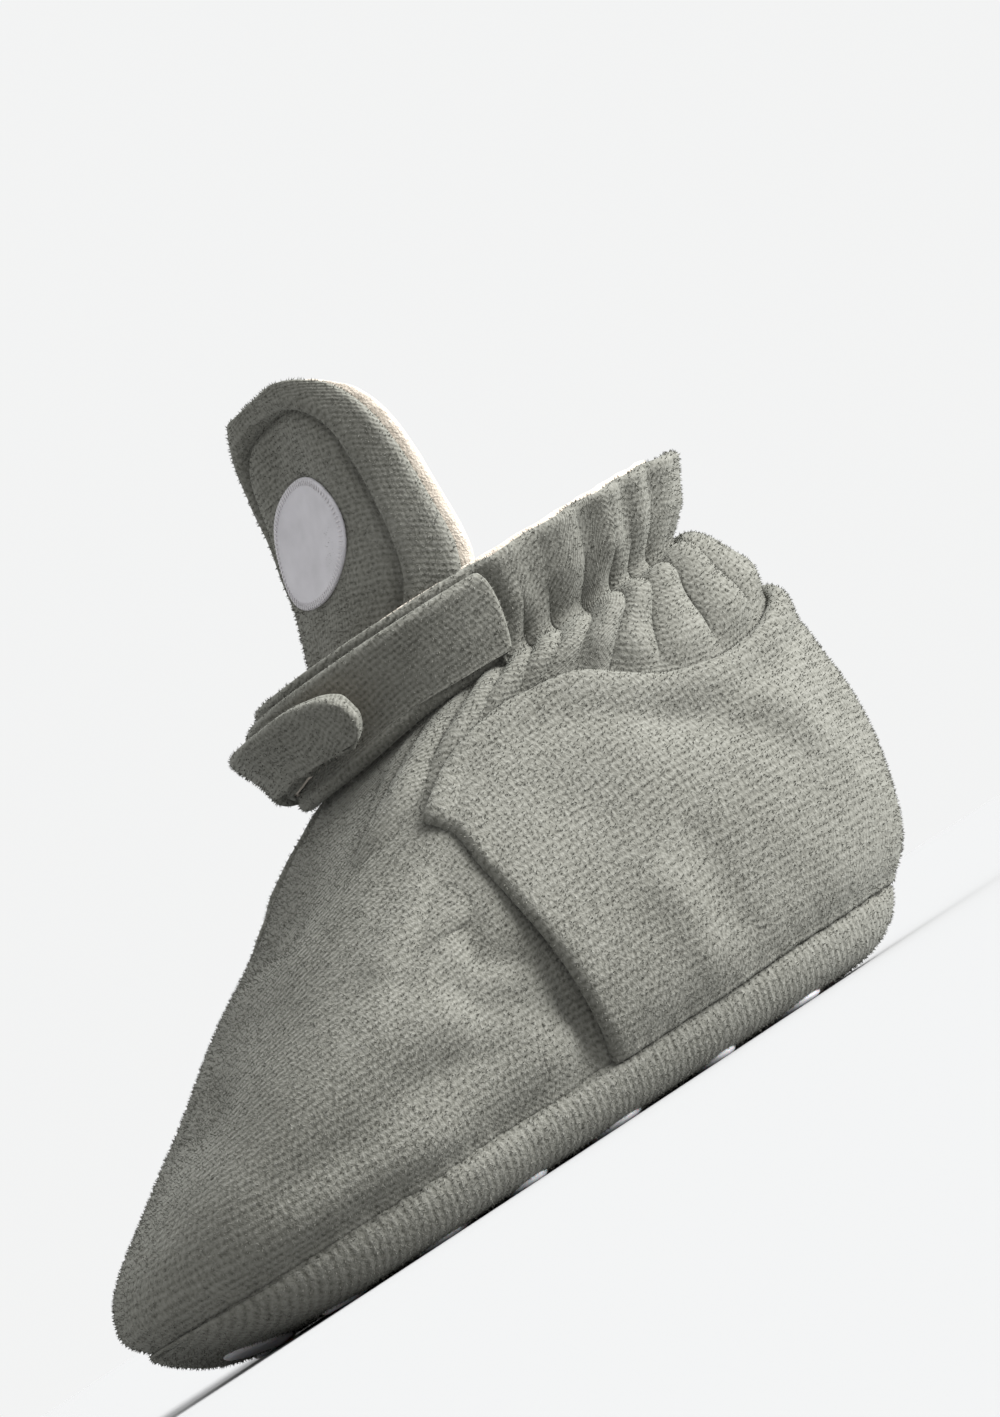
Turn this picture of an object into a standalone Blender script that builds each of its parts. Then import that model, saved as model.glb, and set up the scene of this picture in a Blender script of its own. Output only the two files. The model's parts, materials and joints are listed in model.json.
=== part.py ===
"""Baby bootie for the right foot in soft pile knit, standing empty on its sole.

Sizes are millimetres until a mesh is made. The toe points to -Y, the wearer's left side is +X and up is +Z.
The upper's shape is one function, smooth_point, and the sole, the insole and both straps follow it.
"""

import math
from collections import namedtuple

import bpy
import numpy as np

MM = 0.001

# Driving sizes
LENGTH = 128.0
BALL_WIDTH = 52.0
ANKLE_HEIGHT = 58.0
WALL = 2.4
GAP = 0.35

# The grid of the upper: columns go round from the toe by the wearer's left, rings go up
COLUMNS = 96
RINGS = 16
INNER_RINGS = 10

# Shares of LENGTH for toe, heel and wide places, of BALL_WIDTH for left and right, of ANKLE_HEIGHT for heights
Section = namedtuple("Section", "toe heel left right left_wide right_wide toe_z side_z heel_z pleat")
SECTIONS = (
    Section(-0.488, 0.445, 0.481, 0.490, -0.156, -0.133, 0.138, 0.129, 0.138, 0.000),
    Section(-0.504, 0.480, 0.538, 0.548, -0.148, -0.117, 0.190, 0.207, 0.224, 0.000),
    Section(-0.488, 0.508, 0.567, 0.548, -0.125, -0.078, 0.267, 0.345, 0.397, 0.000),
    Section(-0.434, 0.516, 0.558, 0.510, -0.078, -0.008, 0.353, 0.491, 0.586, 0.100),
    Section(-0.348, 0.512, 0.519, 0.462, -0.016, 0.055, 0.466, 0.629, 0.741, 0.300),
    Section(-0.254, 0.500, 0.471, 0.423, 0.055, 0.102, 0.603, 0.767, 0.871, 0.500),
    Section(-0.152, 0.480, 0.423, 0.385, 0.133, 0.156, 0.741, 0.871, 0.957, 0.800),
    Section(-0.055, 0.461, 0.394, 0.385, 0.203, 0.203, 0.879, 0.940, 1.000, 1.000),
    Section(-0.004, 0.449, 0.375, 0.375, 0.211, 0.211, 0.957, 0.983, 1.017, 1.000),
    Section(-0.004, 0.473, 0.423, 0.423, 0.219, 0.219, 1.060, 1.078, 1.103, 1.000),
    Section(-0.023, 0.492, 0.471, 0.471, 0.219, 0.219, 1.172, 1.172, 1.181, 1.000),
)
TOE_ROUND = 2.35
HEEL_ROUND = 2.9
SIDE_ROUND = 2.0
# A small share of the way round or up, for directions along the surface
SURFACE_STEP = 0.004

# Side seams, as shares of the way round, and how far the quarter stands proud of the vamp
SIDE_SEAM = 0.266
SEAM_SOFTNESS = 0.012
QUARTER_STEP = 1.5
STEP_FADE_LEVEL = 0.70
STEP_FADE_LENGTH = 0.1

# Gathers of the elastic
PLEATS = 24
PLEAT_DEPTH = 0.8
SMOOTH_FRONT = 0.235
PLEAT_FADE = 0.06

# Sole
SOLE_Z = 1.0
SOLE_THICKNESS = 3.0
FLAT_TOE_Y = -42.0
FLAT_HEEL_Y = 40.0
TOE_SPRING = 0.014
HEEL_SPRING = 0.010
SPINE_TOE_Y = -22.0
SPINE_HEEL_Y = 30.0
# Each row moves the seam line inward by inset and sets the height as a share of the way down to the bottom
SoleRow = namedtuple("SoleRow", "inset rise")
SOLE_OUTSIDE = (
    SoleRow(0.0, 1.0),
    SoleRow(-0.4, 0.70),
    SoleRow(0.7, 0.36),
    SoleRow(2.6, 0.12),
    SoleRow(5.5, 0.0),
    SoleRow(10.5, 0.0),
)
SOLE_INSIDE = (
    SoleRow(WALL, 1.0),
    SoleRow(WALL + 0.6, 0.60),
    SoleRow(WALL + 2.2, 0.20),
    SoleRow(WALL + 5.0, 0.0),
)
SOLE_FILL = (0.5,)

# Insole
INSOLE_THICKNESS = 1.6
INSOLE_INSET = 7.4

# Grip dots: place from the middle of the sole, and which of the two sizes
BIG_DOT = 4.5
SMALL_DOT = 3.1
DOT_THICKNESS = 0.7
DOT_BEVEL = 0.25
DOT_SIDES = 16
Dot = namedtuple("Dot", "x y radius")
DOTS = (
    Dot(-1.5, -50.9, BIG_DOT),
    Dot(11.5, -44.3, SMALL_DOT),
    Dot(-14.5, -42.7, SMALL_DOT),
    Dot(-1.0, -35.6, BIG_DOT),
    Dot(15.0, -31.0, BIG_DOT),
    Dot(-17.0, -27.9, BIG_DOT),
    Dot(6.0, -21.1, SMALL_DOT),
    Dot(-7.5, -20.7, SMALL_DOT),
    Dot(18.2, -18.3, SMALL_DOT),
    Dot(-18.5, -14.7, SMALL_DOT),
    Dot(-0.9, -7.9, BIG_DOT),
    Dot(16.5, -3.3, BIG_DOT),
    Dot(-16.6, -0.5, BIG_DOT),
    Dot(6.1, 7.7, SMALL_DOT),
    Dot(-4.7, 10.2, BIG_DOT),
    Dot(17.0, 13.8, SMALL_DOT),
    Dot(-15.7, 14.0, SMALL_DOT),
    Dot(1.7, 23.7, SMALL_DOT),
    Dot(13.0, 29.2, BIG_DOT),
    Dot(-10.3, 29.7, BIG_DOT),
    Dot(0.7, 42.9, BIG_DOT),
)

# Tongue: a row per height, with the middle line, the half width, how far the margins curl back and the dent
TongueRow = namedtuple("TongueRow", "y z x half curl dent")
TONGUE = (
    TongueRow(-0.6, 50.0, 0.5, 10.5, 4.0, 0.2),
    TongueRow(2.8, 57.0, 0.5, 11.5, 6.0, 0.4),
    TongueRow(4.0, 63.0, 1.0, 14.5, 9.0, 1.0),
    TongueRow(6.0, 69.0, 1.5, 17.0, 12.5, 1.8),
    TongueRow(8.7, 76.0, 2.0, 18.5, 13.0, 2.6),
    TongueRow(12.2, 85.0, 2.5, 18.0, 10.0, 3.0),
    TongueRow(14.8, 94.0, 3.0, 16.5, 7.0, 2.6),
    TongueRow(16.6, 99.5, 3.0, 12.5, 3.8, 1.6),
    TongueRow(17.4, 102.0, 3.0, 7.0, 1.2, 0.8),
)
TONGUE_CURL_ANGLE = 1.25
DENT_SHARE = 0.62
TINY_STEP = 0.01
TONGUE_THICKNESS = 3.0
TONGUE_COLUMNS = 16
TONGUE_RINGS = 14
TONGUE_HEIGHT = 54.0

# Label on the front of the tongue
LABEL_ROUND = 24
LABEL_HALF_WIDTH = 8.0
LABEL_HALF_HEIGHT = 5.5
LABEL_LEVEL = 0.60
LABEL_THICKNESS = 0.6
# The label is two rings on each face: its outline and one inside it, at this share
LABEL_INNER_RING = 0.5

# Straps: a row per station with the way round, the lower and upper level on the upper, and the lift from it
StrapRow = namedtuple("StrapRow", "turn low high lift")
NEAR_WRAP = (
    StrapRow(0.215, 0.760, 0.985, 0.0),
    StrapRow(0.160, 0.750, 0.990, 0.0),
    StrapRow(0.090, 0.740, 0.990, 0.0),
    StrapRow(0.020, 0.740, 0.990, 0.0),
    StrapRow(-0.060, 0.740, 0.985, 0.0),
    StrapRow(-0.130, 0.750, 0.970, 0.0),
)
NEAR_WRAP_THICKNESS = 1.9
CLOSING_STRAP = (
    StrapRow(-0.200, 0.765, 0.955, 2.4),
    StrapRow(-0.140, 0.750, 0.970, 2.5),
    StrapRow(-0.060, 0.745, 0.985, 2.6),
    StrapRow(0.010, 0.750, 0.990, 3.2),
    StrapRow(0.060, 0.795, 0.995, 4.6),
    StrapRow(0.098, 0.880, 0.980, 6.4),
)
CLOSING_STRAP_THICKNESS = 3.0
STRAP_GAP = 0.5
STRAP_LENGTHS = 18
STRAP_WIDTHS = 7

# Materials: sRGB-like base colours and roughness
Finish = namedtuple("Finish", "name colour roughness")
PILE_KNIT = Finish("sage_pile_knit", (0.30, 0.30, 0.26), 0.95)
CREAM_FLEECE = Finish("cream_fleece", (0.80, 0.74, 0.64), 0.95)
SILICONE = Finish("clear_silicone", (0.62, 0.63, 0.64), 0.35)
WOVEN_LABEL = Finish("woven_label", (0.72, 0.71, 0.72), 0.7)


def smooth_step(value):
    """0 below 0, 1 above 1 and smooth between."""
    held = min(max(value, 0.0), 1.0)
    return held * held * (3.0 - 2.0 * held)


def spline(rows, level):
    """The table's row at a level from 0 to 1, on a smooth curve through the rows."""
    place = min(max(level, 0.0), 1.0) * (len(rows) - 1)
    first = min(int(place), len(rows) - 2)
    part = place - first
    before, start, end, after = (
        np.array(rows[min(max(index, 0), len(rows) - 1)], float) for index in range(first - 1, first + 3)
    )
    curve = (
        2.0 * start
        + (end - before) * part
        + (2.0 * before - 5.0 * start + 4.0 * end - after) * part**2
        + (3.0 * start - before - 3.0 * end + after) * part**3
    )
    return type(rows[0])(*(0.5 * curve))


def power(value, exponent):
    """A power that keeps the sign."""
    return math.copysign(abs(value) ** exponent, value)


def smooth_point(turn, level):
    """A point of the upper's outside without its seam step or gathers."""
    row = spline(SECTIONS, level)
    angle = 2.0 * math.pi * turn
    toward_toe = math.cos(angle)
    toward_side = math.sin(angle)
    on_left = toward_side >= 0.0
    side = (row.left if on_left else row.right) * BALL_WIDTH
    wide = (row.left_wide if on_left else row.right_wide) * LENGTH
    tip = (row.toe if toward_toe >= 0.0 else row.heel) * LENGTH
    x = side * power(toward_side, 2.0 / SIDE_ROUND)
    roundness = TOE_ROUND if toward_toe >= 0.0 else HEEL_ROUND
    y = wide + (tip - wide) * abs(toward_toe) ** (2.0 / roundness)
    tip_z = row.toe_z if toward_toe >= 0.0 else row.heel_z
    z = (row.side_z + (tip_z - row.side_z) * toward_toe**2) * ANKLE_HEIGHT
    return np.array((x, y, z))


def outward(turn, level):
    """The upper's outward direction at a place."""
    along = smooth_point(turn + SURFACE_STEP, level) - smooth_point(turn - SURFACE_STEP, level)
    low = max(level - SURFACE_STEP, 0.0)
    high = min(level + SURFACE_STEP, 1.0)
    upward = smooth_point(turn, high) - smooth_point(turn, low)
    across = np.cross(along, upward)
    return across / np.linalg.norm(across)


def from_toe(turn):
    """How far round a place is from the toe, 0 at the toe and 0.5 at the heel."""
    return abs((turn + 0.5) % 1.0 - 0.5)


def relief(turn, level):
    """How far the outside stands off its smooth shape: the quarter's step and the gathers."""
    round_share = from_toe(turn)
    fade = 1.0 - smooth_step((level - STEP_FADE_LEVEL) / STEP_FADE_LENGTH)
    step = QUARTER_STEP * smooth_step((round_share - SIDE_SEAM + SEAM_SOFTNESS / 2.0) / SEAM_SOFTNESS) * fade
    gathered = smooth_step((round_share - SMOOTH_FRONT) / PLEAT_FADE)
    wave = math.cos(2.0 * math.pi * PLEATS * turn)
    return step + spline(SECTIONS, level).pleat * PLEAT_DEPTH * gathered * wave


def shell_point(turn, level, inward=0.0):
    """A point of the upper, on its outside or a depth inward from the smooth shape."""
    off = relief(turn, level) if inward == 0.0 else -inward
    return smooth_point(turn, level) + off * outward(turn, level)


def ring(points):
    """A closed ring of the upper's columns from a function of the turn."""
    return [points(column / COLUMNS) for column in range(COLUMNS)]


def finish_material(finish):
    """The material of a finish, made once."""
    material = bpy.data.materials.get(finish.name)
    if material is None:
        material = bpy.data.materials.new(finish.name)
        material.use_nodes = True
        shader = material.node_tree.nodes["Principled BSDF"]
        shader.inputs["Base Color"].default_value = (*finish.colour, 1.0)
        shader.inputs["Roughness"].default_value = finish.roughness
    return material


def add_piece(name, points, faces, finish, collection):
    """Makes one named object from points in millimetres and faces that look outward."""
    mesh = bpy.data.meshes.new(name)
    mesh.from_pydata([tuple(float(value) * MM for value in point) for point in points], [], faces)
    mesh.validate()
    mesh.materials.append(finish_material(finish))
    piece = bpy.data.objects.new(name, mesh)
    collection.objects.link(piece)
    return piece


def loft_rings(rings, closed=False):
    """Points and quads of a stack of closed rings. A closed stack joins its last ring to its first."""
    points = [point for one in rings for point in one]
    count = len(rings[0])
    pairs = [(row, row + 1) for row in range(len(rings) - 1)]
    if closed:
        pairs.append((len(rings) - 1, 0))
    faces = []
    for lower, upper in pairs:
        for column in range(count):
            after = (column + 1) % count
            faces.append(
                (lower * count + column, lower * count + after, upper * count + after, upper * count + column)
            )
    return points, faces


def zip_ring(first, count, upward):
    """Faces across a ring of an even number of points, each point joined to the one across from it."""
    faces = []
    for column in range(count // 2):
        left = (first + column, first + column + 1)
        right = (first + (count - column) % count, first + count - column - 1)
        corners = (left[0], left[1], right[1], right[0])
        face = [corner for index, corner in enumerate(corners) if corner not in corners[:index]]
        faces.append(tuple(face) if upward else tuple(reversed(face)))
    return faces


def sheet_solid(front, back):
    """Points and faces of a closed sheet from two grids of the same size. The front looks outward."""
    rows = len(front)
    columns = len(front[0])
    points = [point for row in front for point in row] + [point for row in back for point in row]
    behind = rows * columns
    faces = []
    for row in range(rows - 1):
        for column in range(columns - 1):
            corner = row * columns + column
            face = (corner, corner + 1, corner + columns + 1, corner + columns)
            faces.append(face)
            faces.append(tuple(behind + index for index in reversed(face)))
    edge = [column for column in range(columns)]
    edge += [row * columns + columns - 1 for row in range(1, rows)]
    edge += [(rows - 1) * columns + column for column in range(columns - 2, -1, -1)]
    edge += [row * columns for row in range(rows - 2, 0, -1)]
    for index, corner in enumerate(edge):
        after = edge[(index + 1) % len(edge)]
        faces.append((after, corner, behind + corner, behind + after))
    return points, faces


def make_upper(collection):
    """The hollow shell, open at the collar and underneath."""
    outside = [ring(lambda turn, at=row / (RINGS - 1): shell_point(turn, at)) for row in range(RINGS)]
    inside = [
        ring(lambda turn, at=row / (INNER_RINGS - 1): shell_point(turn, at, WALL))
        for row in range(INNER_RINGS - 1, -1, -1)
    ]
    points, faces = loft_rings(outside + inside, closed=True)
    add_piece("upper", points, faces, PILE_KNIT, collection)


def spring(y):
    """How far the sole's underside lifts off the floor at the toe and at the heel."""
    toe = max(FLAT_TOE_Y - y, 0.0)
    heel = max(y - FLAT_HEEL_Y, 0.0)
    return TOE_SPRING * toe**2 + HEEL_SPRING * heel**2


def sole_point(turn, row, base_z):
    """A point of the sole on one of its rows, above a base height."""
    edge = smooth_point(turn, 0.0)
    outside = outward(turn, 0.0)
    flat = np.array((outside[0], outside[1], 0.0))
    flat /= np.linalg.norm(flat)
    if row.inset == WALL:
        place = shell_point(turn, 0.0, WALL)
    else:
        place = edge - flat * row.inset
    rim_z = place[2] if row.rise == 1.0 else edge[2]
    bottom = base_z + spring(place[1])
    place[2] = bottom + (rim_z - GAP - bottom) * row.rise
    return place


def toward_spine(points, share, height):
    """A ring drawn in toward the sole's middle line, at a height plus the spring."""
    drawn = []
    for point in points:
        spine = np.array((0.0, min(max(point[1], SPINE_TOE_Y), SPINE_HEEL_Y), 0.0))
        place = spine + (point - spine) * share
        place[2] = height + spring(place[1])
        drawn.append(place)
    return drawn


def make_sole(collection):
    """The padded tray that rolls up to the seam."""
    outside = [ring(lambda turn, at=row: sole_point(turn, at, SOLE_Z)) for row in SOLE_OUTSIDE]
    floor_z = SOLE_Z + SOLE_THICKNESS
    inside = [ring(lambda turn, at=row: sole_point(turn, at, floor_z)) for row in SOLE_INSIDE]
    bottom = [toward_spine(outside[-1], share, SOLE_Z) for share in SOLE_FILL]
    floor = [toward_spine(inside[-1], share, floor_z) for share in SOLE_FILL]
    rings = bottom[::-1] + outside[::-1] + inside + floor
    points, faces = loft_rings(rings)
    last = (len(rings) - 1) * COLUMNS
    faces += zip_ring(0, COLUMNS, upward=False) + zip_ring(last, COLUMNS, upward=True)
    add_piece("sole", points, faces, PILE_KNIT, collection)


def make_insole(collection):
    """The thin fleece layer on the sole's inner floor."""
    low = SOLE_Z + SOLE_THICKNESS + GAP
    outline = ring(lambda turn: sole_point(turn, SoleRow(INSOLE_INSET, 0.0), low))
    top = [point + np.array((0.0, 0.0, INSOLE_THICKNESS)) for point in outline]
    rings = [toward_spine(outline, share, low) for share in reversed(SOLE_FILL)]
    rings += [outline, top]
    rings += [toward_spine(outline, share, low + INSOLE_THICKNESS) for share in SOLE_FILL]
    points, faces = loft_rings(rings)
    last = (len(rings) - 1) * COLUMNS
    faces += zip_ring(0, COLUMNS, upward=False) + zip_ring(last, COLUMNS, upward=True)
    add_piece("insole", points, faces, CREAM_FLEECE, collection)


def make_dot(index, dot, collection):
    """One round grip dot, which follows the sole's underside."""
    rings = []
    edges = (
        (DOT_THICKNESS, dot.radius - DOT_BEVEL),
        (DOT_THICKNESS - DOT_BEVEL, dot.radius),
        (0.0, dot.radius),
    )
    for depth, radius in edges:
        one = []
        for side in range(DOT_SIDES):
            angle = 2.0 * math.pi * side / DOT_SIDES
            x = dot.x + radius * math.sin(angle)
            y = dot.y - radius * math.cos(angle)
            one.append(np.array((x, y, DOT_THICKNESS - depth + spring(y))))
        rings.append(one)
    points, faces = loft_rings(rings)
    last = (len(rings) - 1) * DOT_SIDES
    faces += zip_ring(0, DOT_SIDES, upward=False) + zip_ring(last, DOT_SIDES, upward=True)
    add_piece(f"grip_dot_{index:02d}", points, faces, SILICONE, collection)


def tongue_point(across, level, depth):
    """A point of the tongue: across from -1 at its right edge to 1 at its left, at a depth behind its face."""
    row = spline(TONGUE, level)
    ahead = spline(TONGUE, min(level + TINY_STEP, 1.0))
    behind = spline(TONGUE, max(level - TINY_STEP, 0.0))
    lean = np.array((0.0, ahead.y - behind.y, ahead.z - behind.z))
    lean /= np.linalg.norm(lean)
    back = np.array((0.0, lean[2], -lean[1]))
    angle = across * TONGUE_CURL_ANGLE
    reach = 1.0 / math.sin(TONGUE_CURL_ANGLE)
    drop = 1.0 / (1.0 - math.cos(TONGUE_CURL_ANGLE))
    inward_x = -math.sin(angle) * row.curl / math.hypot(row.curl, row.half)
    dent = row.dent * math.cos(0.5 * math.pi * min(abs(across) / DENT_SHARE, 1.0)) ** 2
    x = row.x + row.half * reach * math.sin(angle) + depth * inward_x
    curled = row.curl * drop * (1.0 - math.cos(angle)) + dent + depth * math.sqrt(1.0 - inward_x**2)
    return np.array((x, row.y, row.z)) + back * curled


def tongue_grid(depth):
    """The tongue's face at a depth, a row per height from the base."""
    return [
        [
            tongue_point(2.0 * column / (TONGUE_COLUMNS - 1) - 1.0, row / (TONGUE_RINGS - 1), depth)
            for column in range(TONGUE_COLUMNS)
        ]
        for row in range(TONGUE_RINGS)
    ]


def make_tongue(collection):
    """The padded flap that rises from inside the front of the shaft."""
    points, faces = sheet_solid(tongue_grid(0.0), tongue_grid(TONGUE_THICKNESS))
    add_piece("tongue", points, faces, PILE_KNIT, collection)


def make_label(collection):
    """The bare oval label on the tongue's face."""
    rings = []
    back, front = -GAP, -GAP - LABEL_THICKNESS
    for share, depth in ((LABEL_INNER_RING, back), (1.0, back), (1.0, front), (LABEL_INNER_RING, front)):
        one = []
        for side in range(LABEL_ROUND):
            angle = 2.0 * math.pi * side / LABEL_ROUND
            across = share * LABEL_HALF_WIDTH * math.sin(angle) / spline(TONGUE, LABEL_LEVEL).half
            level = LABEL_LEVEL - share * LABEL_HALF_HEIGHT * math.cos(angle) / TONGUE_HEIGHT
            one.append(tongue_point(across, level, depth))
        rings.append(one)
    points, faces = loft_rings(rings)
    last = (len(rings) - 1) * LABEL_ROUND
    faces += zip_ring(0, LABEL_ROUND, upward=False) + zip_ring(last, LABEL_ROUND, upward=True)
    add_piece("tongue_label", points, faces, WOVEN_LABEL, collection)


def strap_grid(table, height):
    """One face of a strap, a row per width from its lower edge, at a height over its inner face."""
    rows = []
    for width in range(STRAP_WIDTHS):
        share = width / (STRAP_WIDTHS - 1)
        row = []
        for station in range(STRAP_LENGTHS):
            at = spline(table, station / (STRAP_LENGTHS - 1))
            level = at.low + (at.high - at.low) * share
            off = STRAP_GAP + at.lift + height
            row.append(smooth_point(at.turn, level) + off * outward(at.turn, level))
        rows.append(row)
    return rows


def make_strap(name, table, thickness, collection):
    """A strap that follows the ankle's own shape."""
    ordered = sorted(table, key=lambda row: row.turn)
    points, faces = sheet_solid(strap_grid(ordered, thickness), strap_grid(ordered, 0.0))
    add_piece(name, points, faces, PILE_KNIT, collection)


def centre(collection):
    """Moves every piece by the same amount, so that the origin is below the middle of the whole bootie."""
    corners = np.array([vertex.co for piece in collection.objects for vertex in piece.data.vertices])
    middle = (corners.min(axis=0) + corners.max(axis=0)) / 2.0
    for piece in collection.objects:
        for vertex in piece.data.vertices:
            vertex.co.x -= middle[0]
            vertex.co.y -= middle[1]


def main():
    """Builds the bootie in a collection of its own."""
    for old in list(bpy.data.objects):
        bpy.data.objects.remove(old)
    collection = bpy.data.collections.new("bootie")
    bpy.context.scene.collection.children.link(collection)
    make_upper(collection)
    make_sole(collection)
    make_insole(collection)
    for index, dot in enumerate(DOTS, start=1):
        make_dot(index, dot, collection)
    make_tongue(collection)
    make_label(collection)
    make_strap("near_wrap", NEAR_WRAP, NEAR_WRAP_THICKNESS, collection)
    make_strap("closing_strap", CLOSING_STRAP, CLOSING_STRAP_THICKNESS, collection)
    centre(collection)


main()
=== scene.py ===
"""Looks of a baby bootie in soft pile knit, for the right foot, standing empty on its sole.

Sizes are millimetres until a mesh is made. The toe points to -Y, the wearer's left side is +X and up is +Z.
A place on the upper is a turn, from 0 at the toe by the wearer's left to 0.5 at the heel, and a level,
from 0 at the sole's seam to 1 at the collar.
"""

import json
import logging
import math
from dataclasses import dataclass, field
from enum import Enum
from functools import cached_property

import bpy
import numpy as np
from mathutils import Matrix

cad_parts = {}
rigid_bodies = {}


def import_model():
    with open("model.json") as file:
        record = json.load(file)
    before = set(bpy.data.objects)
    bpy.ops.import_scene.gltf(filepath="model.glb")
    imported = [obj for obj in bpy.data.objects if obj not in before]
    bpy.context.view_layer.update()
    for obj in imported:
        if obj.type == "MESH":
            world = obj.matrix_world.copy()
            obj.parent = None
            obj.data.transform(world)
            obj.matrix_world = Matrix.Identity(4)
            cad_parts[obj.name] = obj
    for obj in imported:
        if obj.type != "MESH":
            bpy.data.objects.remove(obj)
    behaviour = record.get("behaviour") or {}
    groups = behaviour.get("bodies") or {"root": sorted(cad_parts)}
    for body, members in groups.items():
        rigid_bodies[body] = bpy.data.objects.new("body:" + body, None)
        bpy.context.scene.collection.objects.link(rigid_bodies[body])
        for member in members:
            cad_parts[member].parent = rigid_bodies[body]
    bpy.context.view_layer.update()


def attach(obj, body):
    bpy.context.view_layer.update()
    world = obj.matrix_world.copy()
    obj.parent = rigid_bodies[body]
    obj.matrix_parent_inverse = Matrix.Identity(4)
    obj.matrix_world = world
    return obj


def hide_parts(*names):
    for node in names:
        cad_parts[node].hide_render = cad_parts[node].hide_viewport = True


MM = 0.001
# How far the model's middle is from the middle that the sizes are drawn about
MIDDLE = np.array((0.341, 1.671, 0.0))
TINY = 1e-9
FULL_TURN = 2.0 * math.pi
# How far round from the toe the side and the heel are
SIDE = 0.25
HEEL = 0.5
# How many samples round off a corner, and how far to each side they reach
CORNER_SAMPLES = 5
CORNER_BLUR = 0.012
# The pieces that grow loose fibres, in the order of their seeds
FURRY = (
    "vamp_panel",
    "quarter_panel",
    "ankle_gather",
    "sole_panel",
    "tongue_face",
    "ankle_band",
    "closing_strap_face",
)
Array = np.ndarray
Piece = bpy.types.Object
Material = bpy.types.Material
Socket = bpy.types.NodeSocket
Feeds = dict[str | int, object]
Triple = tuple[float, float, float]
Colour = Triple
Pairs = tuple[tuple[float, float], ...]
Rows = tuple[tuple[float, ...], ...]
log = logging.getLogger("bootie")


class Edge(Enum):
    """What happens at the two ends of a grid's columns."""

    OPEN = "open"
    ROUND = "round"


def smooth_step(value: Array) -> Array:
    """Returns 0 below 0, 1 above 1 and a smooth curve between, for each value."""
    held = np.clip(value, 0.0, 1.0)
    return held * held * (3.0 - 2.0 * held)


def bell(value: Array) -> Array:
    """Returns 1 at 0 and a smooth fall to nothing on both sides, for each value."""
    return np.exp(-(value**2))


def rows_at(table: Array, level: Array) -> Array:
    """A table's values on a smooth curve through its rows.

    Args:
        table: rows by columns of numbers.
        level: places from 0, the first row, to 1, the last.

    Returns:
        The columns at each place, on a new last axis.
    """
    last = len(table) - 1
    place = np.clip(level, 0.0, 1.0) * last
    first = np.minimum(place.astype(int), last - 1)
    part = (place - first)[..., None]
    before = table[np.clip(first - 1, 0, last)]
    start = table[first]
    end = table[first + 1]
    after = table[np.clip(first + 2, 0, last)]
    bend = (2.0 * before - 5.0 * start + 4.0 * end - after) * part**2
    twist = (3.0 * start - before - 3.0 * end + after) * part**3
    return 0.5 * (2.0 * start + (end - before) * part + bend + twist)


def through(pairs: Pairs, at: Array) -> Array:
    """Values along pairs of a place and a value, with the corners between them rounded off.

    Args:
        pairs: rising places and their values.
        at: where the values are wanted.

    Returns:
        A value for each place.
    """
    places, values = zip(*pairs)
    shifts = np.linspace(-1.0, 1.0, CORNER_SAMPLES)
    weights = bell(shifts) / bell(shifts).sum()
    near = (np.interp(at + CORNER_BLUR * shift, places, values) for shift in shifts)
    return sum(weight * value for weight, value in zip(weights, near))


def packed_shares(count: int, first_band: float, last_band: float, band_count: int = 5) -> Array:
    """Shares from 0 to 1 with round lips at the ends.

    Args:
        count: how many shares lie between the two bands.
        first_band: the share that the first lip takes.
        last_band: the share that the last lip takes.
        band_count: how many shares each lip has.

    Returns:
        The rising shares.
    """
    lip = 1.0 - np.cos(np.linspace(0.0, math.pi / 2.0, band_count + 1))
    first = first_band * lip
    last = 1.0 - last_band * lip[::-1]
    return np.concatenate((first, np.linspace(first_band, 1.0 - last_band, count + 2)[1:-1], last))


def lip_profile(shares: Array, first_band: float, last_band: float) -> Array:
    """The part of the full thickness at each share, which falls to 0 at both ends in a round lip."""
    toward_first = np.clip(1.0 - shares / max(first_band, TINY), 0.0, 1.0)
    toward_last = np.clip(1.0 - (1.0 - shares) / max(last_band, TINY), 0.0, 1.0)
    return np.sqrt((1.0 - toward_first**2) * (1.0 - toward_last**2))


def surface_normals(points: Array, edge: Edge) -> Array:
    """Unit directions outward from a grid of rows and columns.

    Args:
        points: rows by columns by 3.
        edge: ROUND where the last column meets the first.

    Returns:
        Directions of the same shape.
    """
    padded = points
    if edge is Edge.ROUND:
        padded = np.concatenate((points[:, -1:], points, points[:, :1]), axis=1)
    along = np.gradient(padded, axis=1)
    upward = np.gradient(padded, axis=0)
    across = np.cross(along, upward)
    across /= np.linalg.norm(across, axis=-1, keepdims=True) + TINY
    return across[:, 1:-1] if edge is Edge.ROUND else across


def cloth_lengths(points: Array, edge: Edge) -> Array:
    """Lengths along the cloth in millimetres, along rows and up columns, for the weave to follow."""
    grid = np.concatenate((points, points[:, :1]), axis=1) if edge is Edge.ROUND else points
    steps = np.linalg.norm(np.diff(grid, axis=1), axis=-1)
    rows = np.concatenate((np.zeros((len(grid), 1)), np.cumsum(steps, axis=1)), axis=1)
    rows -= rows[:, grid.shape[1] // 2][:, None]
    lifts = np.linalg.norm(np.diff(grid, axis=0), axis=-1)
    columns = np.concatenate((np.zeros((1, grid.shape[1])), np.cumsum(lifts, axis=0)), axis=0)
    return np.stack((rows, columns), axis=-1)


@dataclass(frozen=True)
class Slope:
    """A smooth rise from 0 at a start to 1 after a run, or toward lower values where the run is negative."""

    start: float
    run: float

    def at(self, value: Array) -> Array:
        """How far up the rise each value is."""
        return smooth_step((value - self.start) / self.run)


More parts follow.
